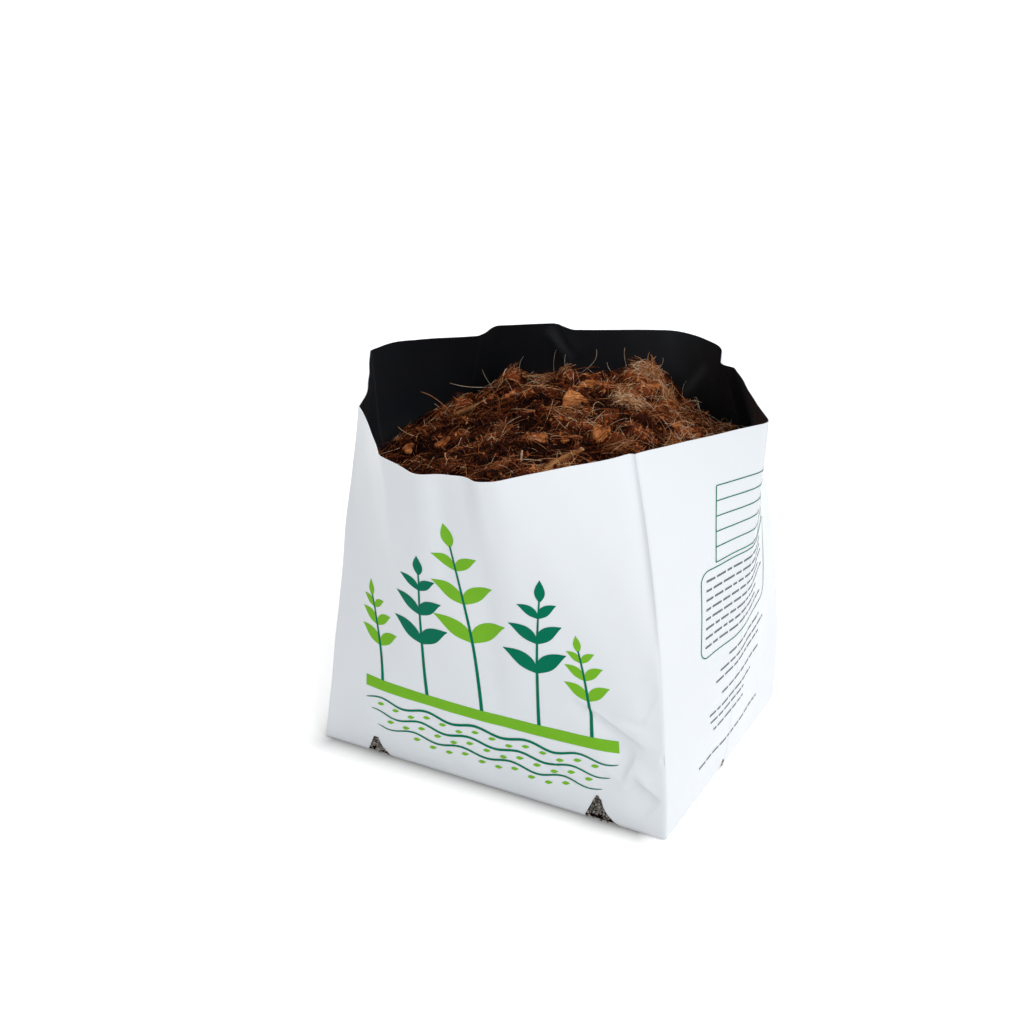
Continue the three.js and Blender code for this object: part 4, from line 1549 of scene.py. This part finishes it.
strays = {
    # single fibres that stand clear of the heap: root x and y, reach in x, y and z, bow, thickness, tone
    "places": [
        (-57, 46, -24, -12, 2.0, 1.5, 0.24, 1.0),
        (-36, 70, 1, 0, 18, 1.0, 0.18, 1.0),
        (-20, 72, 7, 4, 14, -2.4, 0.18, 1.0),
        (-29, 71, -0.6, 0, 11, 0.8, 0.18, 1.0),
        (4, 79, -2, -1, 13, 0.9, 0.18, 1.0),
        (-62, 50, -6, -3, 12, 0.8, 0.18, 1.0),
        (-75, 23, -16, -3, 9, -1.5, 0.36, 0.8),
        (-62, -20, -16, -6, 6, 2.0, 0.24, 0.9),
        (-50, 56, 2, 0.5, 12, 1.3, 0.16, 1.0),
        (-46, 58, 3, 1, 9, 1.6, 0.16, 1.0),
        (-56, 53, 4, 0, 9, -1.6, 0.16, 1.0),
        (14, 81, 1, 0, 8, 0.6, 0.16, 1.0),
        (20, 82, 2, 1, 7, -0.8, 0.16, 1.0),
        (34, 83, 1.5, 1, 10, 1.0, 0.16, 1.0),
        (44, 72, 3, 1, 8, 1.2, 0.16, 1.0),
        (-3, 77, -4, -1, 7, 0.9, 0.18, 1.0),
        (-7, 75, -10, -2, 3, 1.4, 0.18, 1.0),
        (65, 19, 9, 6, 6, 3.0, 0.26, 0.95),
        (60, 24, 12, 1, 4, -4.0, 0.26, 1.0),
        (38, 66, 12, 5, 4, 2.5, 0.24, 0.9),
        (48, 26, 14, 6, 3, 3.0, 0.24, 0.95),
        (28, 54, 20, -12, 2, 2.0, 0.24, 0.95),
        (4.7, -48.3, 0.8, -0.4, 8, 0.2, 1.1, 1.0),
        (-38, 62, -8, 3, 6, 1.5, 0.20, 0.9),
        (12, 66, 7, 2, 6, -1.5, 0.20, 0.9),
    ],
    "rootDepth": 1.0,
    "curl": 2.6,  # one over the most that share times (1 - share squared) comes to
    "steps": 16,
    "sides": 4,
    "seed": 51,
}


# A stray fibre: a straight reach bowed square to the depth of the bag by share times (1 - share squared),
# so it curls more towards its tip
def makeStrays():
    rng = np.random.default_rng(strays["seed"])
    table = np.array(strays["places"], float)
    x, y = table[:, 0], table[:, 1]
    root = np.stack([x, y, fromMap(broadMap, x, y) - strays["rootDepth"]], -1)
    t = np.linspace(0, 1, strays["steps"])[None, :, None]
    reach = table[:, None, 2:5]
    aside = np.cross(reach, (0, 1, 0))
    aside /= np.linalg.norm(aside, axis=-1, keepdims=True)
    bow = table[:, None, 5:6] * strays["curl"] * t * (1 - t**2)
    paths = keepInside(root[:, None] + reach * t + aside * bow)
    radius = taperedRadius(table[:, 6] / 2, strays["steps"])
    points, faces = tubes(rng, paths, radius, strays["sides"])
    newFibres("coirStrays", points, faces, table[:, 7])


chips = {
    # husk chips: x, y, length, width, thickness, heading and tilt in degrees, tone
    "places": [
        (-6, 34, 14, 13, 3.5, 20, 38, 0.70),
        (1, -23, 14, 8, 3.5, -10, 12, 0.55),
        (12, -10, 16, 8, 3, 35, 10, 0.50),
        (25, -1, 12, 10, 7, 70, 5, 0.50),
        (41, 38, 10, 9, 8, 15, 20, 0.34),
        (36, 59, 11, 9, 3.5, -40, 30, 0.58),
        (20, 66, 18, 10, 4, 15, 15, 0.50),
        (-6, 54, 14, 7, 3, 25, 15, 0.55),
        (-66, -34, 9, 7, 3, 55, 15, 0.50),
        (-50, -28, 14, 5, 3.5, 80, 20, 0.38),
    ],
    "corners": 7,
    "uneven": (0.68, 1.0),  # spread of the corners' distance from the middle
    "jitter": 0.3,  # how far a corner strays along the outline, as a share of the space between corners
    "sink": 0.15,  # the middle lies this share of the thickness below the heap
    "settled": 0.4,  # and this much further in the loose crumbs
    "layers": [(-0.5, 0.7), (-0.1, 1.0), (0.3, 0.97), (0.5, 0.86)],  # level, spread of the outline
    "around": 72,
    "up": 22,
    "topRings": 8,
    "fray": (-0.07, 0.042),  # how far the rim is drawn in or out, as a share
    "ridges": 0.18,  # height of the fibre ridges as a share of the thickness
    # noises that make the ridges: share, how little it changes along the chip, shift in x and y from chip to
    # chip, size, seed
    "ridgeNoise": [(1.0, 0.2, 9, 0, 1.7, 70), (0.6, 0.3, 0, 5, 0.8, 71)],
    "broken": (0.15, 1.1, 0.14),  # where the top slants off, how steeply, how much paler it is there
    "grainShift": 7.0,  # from chip to chip
    "toneSpread": 0.10,
    "seed": 61,
}


# Moves and stretches values to a span about nought
def fitSpan(values, span):
    return (values - (values.max() + values.min()) / 2) / np.ptp(values) * span


# A husk chip: its outline runs straight between uneven corners with a frayed rim, swells and shrinks through
# the thickness, has fibre ridges along its length, and its top slants off on one side where it broke
def makeChip(number, row):
    x, y, length, width, thick, heading, tilt, tone = row
    rng = np.random.default_rng(chips["seed"] + number)
    corner = np.arange(chips["corners"] + 1)
    stray = rng.uniform(-1, 1, len(corner)) * chips["jitter"]
    reach = rng.uniform(*chips["uneven"], len(corner))
    stray[-1], reach[-1] = stray[0], reach[0]
    angle = 2 * np.pi * (corner + stray) / chips["corners"]
    along = np.linspace(0, chips["corners"], chips["around"], endpoint=False)
    outX = fitSpan(np.interp(along, corner, np.cos(angle) * reach), length)
    outY = fitSpan(np.interp(along, corner, np.sin(angle) * reach), width)
    fray = 1 + rng.uniform(*chips["fray"], chips["around"])
    level = np.linspace(-0.5, 0.5, chips["up"])
    spread = np.interp(level, *np.array(chips["layers"]).T)
    inward = np.linspace(1, 0, chips["topRings"], endpoint=False)[1:]
    level = np.concatenate([0 * inward - 0.5, level, 0 * inward + 0.5])
    spread = np.concatenate([inward[::-1] * spread[0], spread, inward * spread[-1]])
    px = outX[None] * spread[:, None] * fray
    py = outY[None] * spread[:, None] * fray
    ridge = sum(share * softNoise(px * slow + number * shiftX, py + number * shiftY, size, seed)
                for share, slow, shiftX, shiftY, size, seed in chips["ridgeNoise"])
    side = rng.uniform(0, 2 * np.pi)
    start, steep, paler = chips["broken"]
    beyond = np.maximum(2 * (px * np.cos(side) / length + py * np.sin(side) / width) - start, 0)
    slant = 1 - steep * beyond * (level > 0)[:, None]
    pz = level[:, None] * thick * slant + np.sign(level)[:, None] * chips["ridges"] * thick * ridge
    points, faces = loft(np.stack([px, py, pz], -1), (0, 0, -thick / 2), (0, 0, thick / 2))
    grain = points[:, :2] + number * chips["grainShift"]
    angles = np.radians([[tilt], [0.0], [heading]])
    turned = points @ turnings(*angles)[0].T
    z = heapTop(np.array([x], float), np.array([y], float))[0] - chips["sink"] * thick - chips["settled"]
    piece = newPiece(f"huskChip{number:02d}", turned + (x, y, z), faces, [huskFinish])
    piece.data.set_sharp_from_angle(angle=hardEdge)
    fresh = np.concatenate([[0], (beyond > 0).ravel(), [0]])
    giveValue(piece, "tone", tone + paler * fresh + chips["toneSpread"] * rng.uniform(-1, 1, len(points)))
    giveGrain(piece, grain)
    settle(piece, "husk", f"husk_chip_{number:02d}")


sticks = {
    # split sticks: x, y, length, thickness at both ends, heading in degrees, bow, tone
    "places": [(22, -39, 38, 4.6, 2.8, 84, 1.5, 0.58), (-64, 23, 20, 3.4, 2.6, 40, 0.6, 0.42)],
    "sink": 0.2,  # the axis lies this share of the thickness below the heap
    "rings": 60,
    "around": 40,
    "splits": [(2, 0.10, 0.4), (5, 0.10, 1.7), (9, 0.06, 0.2), (14, 0.03, 2.9)],  # count, depth, start
    "wander": (0.6, 3),  # how far the splits wind round the stick, and how often
    "ragged": (1.1, 12),  # length of the splinters at the ends, and the power by which they come in
    "hollow": 0.4,  # depth of the ends' middles
    "grainScale": 0.5,
    "cutEnd": (1.0, 0.45),  # length of the fresh cut at the far end, and how much paler it is
    "seed": 81,
}


# A split stick: a tapering rod, bowed by 1 - (2 share - 1) squared, with cosine grooves that run along it and
# ragged ends, laid to the slope of the heap
def makeStick(number, row):
    x, y, length, thickStart, thickEnd, heading, bow, tone = row
    rng = np.random.default_rng(sticks["seed"] + number)
    turn = np.radians(heading)
    ends = np.array([-0.5, 0.5]) * length
    start, end = heapTop(x + ends * np.cos(turn), y + ends * np.sin(turn))
    share = np.linspace(0, 1, sticks["rings"])[:, None]
    angle = np.linspace(0, 2 * np.pi, sticks["around"], endpoint=False)[None]
    radius = (thickStart + (thickEnd - thickStart) * share) / 2
    far, often = sticks["wander"]
    wander = far * np.sin(often * share)
    groove = [deep * np.cos(count * angle + first + wander) for count, deep, first in sticks["splits"]]
    radius = radius * (1 + sum(groove))
    splinter, power = sticks["ragged"]
    ragged = rng.uniform(-1, 1, sticks["around"])[None] * splinter
    tipped = (share - 0.5) * length + ragged * np.abs(2 * share - 1) ** power * np.sign(share - 0.5)
    aside = bow * (1 - (2 * share - 1) ** 2)
    ringed = np.stack(np.broadcast_arrays(tipped, aside + radius * np.cos(angle), radius * np.sin(angle)), -1)
    pole = length / 2 - sticks["hollow"]
    points, faces = loft(ringed, (-pole, 0, 0), (pole, 0, 0))
    grain = np.stack([points[:, 0], np.arctan2(points[:, 2], points[:, 1]) * thickStart / 2], -1)
    angles = np.array([[0.0], [-np.arctan2(end - start, length)], [turn]])
    turned = points @ turnings(*angles)[0].T
    z = (start + end) / 2 - sticks["sink"] * thickStart
    piece = newPiece(f"huskStick{number:02d}", turned + (x, y, z), faces, [stickFinish])
    cutLong, paler = sticks["cutEnd"]
    giveValue(piece, "tone", tone + paler * (points[:, 0] > length / 2 - cutLong))
    giveGrain(piece, grain * sticks["grainScale"])
    settle(piece, "stick", f"husk_stick_{number:02d}")


makeFilm()
lime, green = printSeedlings()
rules, dashes = printGusset()
printInk("printLime", lime, limeInk, inkLay["lime"])
printInk("printGreen", green + rules, greenInk, inkLay["green"])
printInk("printGrey", dashes, greyInk, inkLay["grey"])
makeBed()
makeCrumbs()
makeNotchCoir()
makeSlivers()
for name in fibreLays:
    makeFibres(name)
makeTufts()
makeStrays()
for number, row in enumerate(chips["places"], 1):
    makeChip(number, row)
for number, row in enumerate(sticks["places"], 1):
    makeStick(number, row)


# Studio: a pale floor with a painted contact shadow, darker by exp(-distance / reach) close to the front and
# left of the bag, a white surround, a soft sun from the upper right and weaker ones from the front, the left
# and the back
studio = {
    "floorSize": 6000,
    "floorDrop": 0.2,
    "floorShade": 0.92,
    "floorGlow": 0.50,
    # the painted contact shadow on the floor: its box round the base, its depth and its reach
    "paintedShadowBox": ((-95, -75), (84, 63)),  # low and high corner of the base that shades the floor
    "paintedShadow": 0.66,
    "paintedShadowReach": 10,
    "skyLight": 0.42,
    # each lamp: direction towards it, strength, how wide it looks in degrees
    "lamps": [
        ((0.62, -0.16, 0.80), 1.64, 50),
        ((0.55, -0.75, 0.35), 0.38, 60),
        ((-0.75, -0.35, 0.55), 0.10, 80),
        ((-0.40, 0.85, 0.12), 0.26, 60),
    ],
}


# One for rays that show a surface, straight, mirrored or through another, and nought for those that light one
def seenDirectly(f):
    path = f.node("ShaderNodeLightPath")
    outputs = path.socket.node.outputs
    rays = [Wire(f.tree, outputs[name]) for name in ("Is Camera Ray", "Is Glossy Ray", "Is Transmission Ray")]
    return rays[0] + rays[1] + rays[2]


# The floor: matte, with a glow of its own where it is seen, and both darker near the bag as a painted contact
# shadow
def makeFloor():
    half, z = studio["floorSize"] / 2, -studio["floorDrop"]
    points = np.array([(-half, -half, z), (half, -half, z), (half, half, z), (-half, half, z)])
    low, high = np.array(studio["paintedShadowBox"]) * mm
    f = newFinish("paleFloor")
    outside = f.vector("SUBTRACT", f.objectPlace(), (*(low + high) / 2, 0))
    outside = f.vector("SUBTRACT", f.vector("ABSOLUTE", outside), (*(high - low) / 2, 0))
    away = f.vector("LENGTH", f.vector("MAXIMUM", outside, (0, 0, 0)))
    near = float(np.exp(-1 / studio["paintedShadowReach"])) ** (away * (1 / mm))
    lit = 1 - studio["paintedShadow"] * near
    colour = f.mixColour(lit, (0, 0, 0, 1), (*[studio["floorShade"]] * 3, 1))
    matte = f.node("ShaderNodeBsdfDiffuse", None, {"Color": colour})
    glow = f.node("ShaderNodeEmission", None, {"Strength": studio["floorGlow"] * lit * seenDirectly(f)})
    both = f.node("ShaderNodeAddShader", None, {"Shader": matte, "Shader_001": glow})
    f.node("ShaderNodeOutputMaterial", None, {"Surface": both})
    newPiece("floor", points, [np.array([[0, 1, 2, 3]])], [f.owner])


# The surround: white where it is seen, and dimmer as a light
def makeSky():
    world = bpy.data.worlds.new("whiteSurround")
    bpy.context.scene.world = world
    f = Finish(world)
    seen = seenDirectly(f)
    strength = studio["skyLight"] + (1 - studio["skyLight"]) * seen
    shader = f.node("ShaderNodeBackground", None, {"Color": (1, 1, 1, 1), "Strength": strength})
    f.node("ShaderNodeOutputWorld", None, {"Surface": shader})


# Suns, each turned to shine away from its direction
def makeLamps():
    for number, (toward, strength, width) in enumerate(studio["lamps"], 1):
        lamp = bpy.data.lights.new(f"softLamp{number}", "SUN")
        lamp.energy = strength
        lamp.angle = np.radians(width)
        holder = bpy.data.objects.new(f"softLamp{number}", lamp)
        holder.location = Vector(toward)
        holder.rotation_euler = (-Vector(toward)).to_track_quat("-Z", "Y").to_euler()
        bpy.context.scene.collection.objects.link(holder)


camera = {
    "azimuth": 27.5525,
    "elevation": 27.5754,
    "distance": 1076.56,
    "target": (-43.237, 34.027, 100.0),
    "focal": 1968.1134,  # focal length and width of the picture, in pixels
    "pictureWidth": 1024,
    "sensor": 36.0,
}


# The camera stands back from its target along azimuth and elevation, and looks at it
def makeCamera():
    azimuth, elevation = np.radians([camera["azimuth"], camera["elevation"]])
    level = np.cos(elevation)
    back = Vector((np.sin(azimuth) * level, -np.cos(azimuth) * level, np.sin(elevation)))
    data = bpy.data.cameras.new("camera")
    data.sensor_width = camera["sensor"]
    data.lens = camera["focal"] / camera["pictureWidth"] * camera["sensor"]
    holder = bpy.data.objects.new("camera", data)
    holder.location = (Vector(camera["target"]) + back * camera["distance"]) * mm
    holder.rotation_euler = (-back).to_track_quat("-Z", "Y").to_euler()
    bpy.context.scene.collection.objects.link(holder)
    bpy.context.scene.camera = holder


makeFloor()
makeSky()
makeLamps()
makeCamera()
bpy.context.scene.view_settings.view_transform = "Standard"
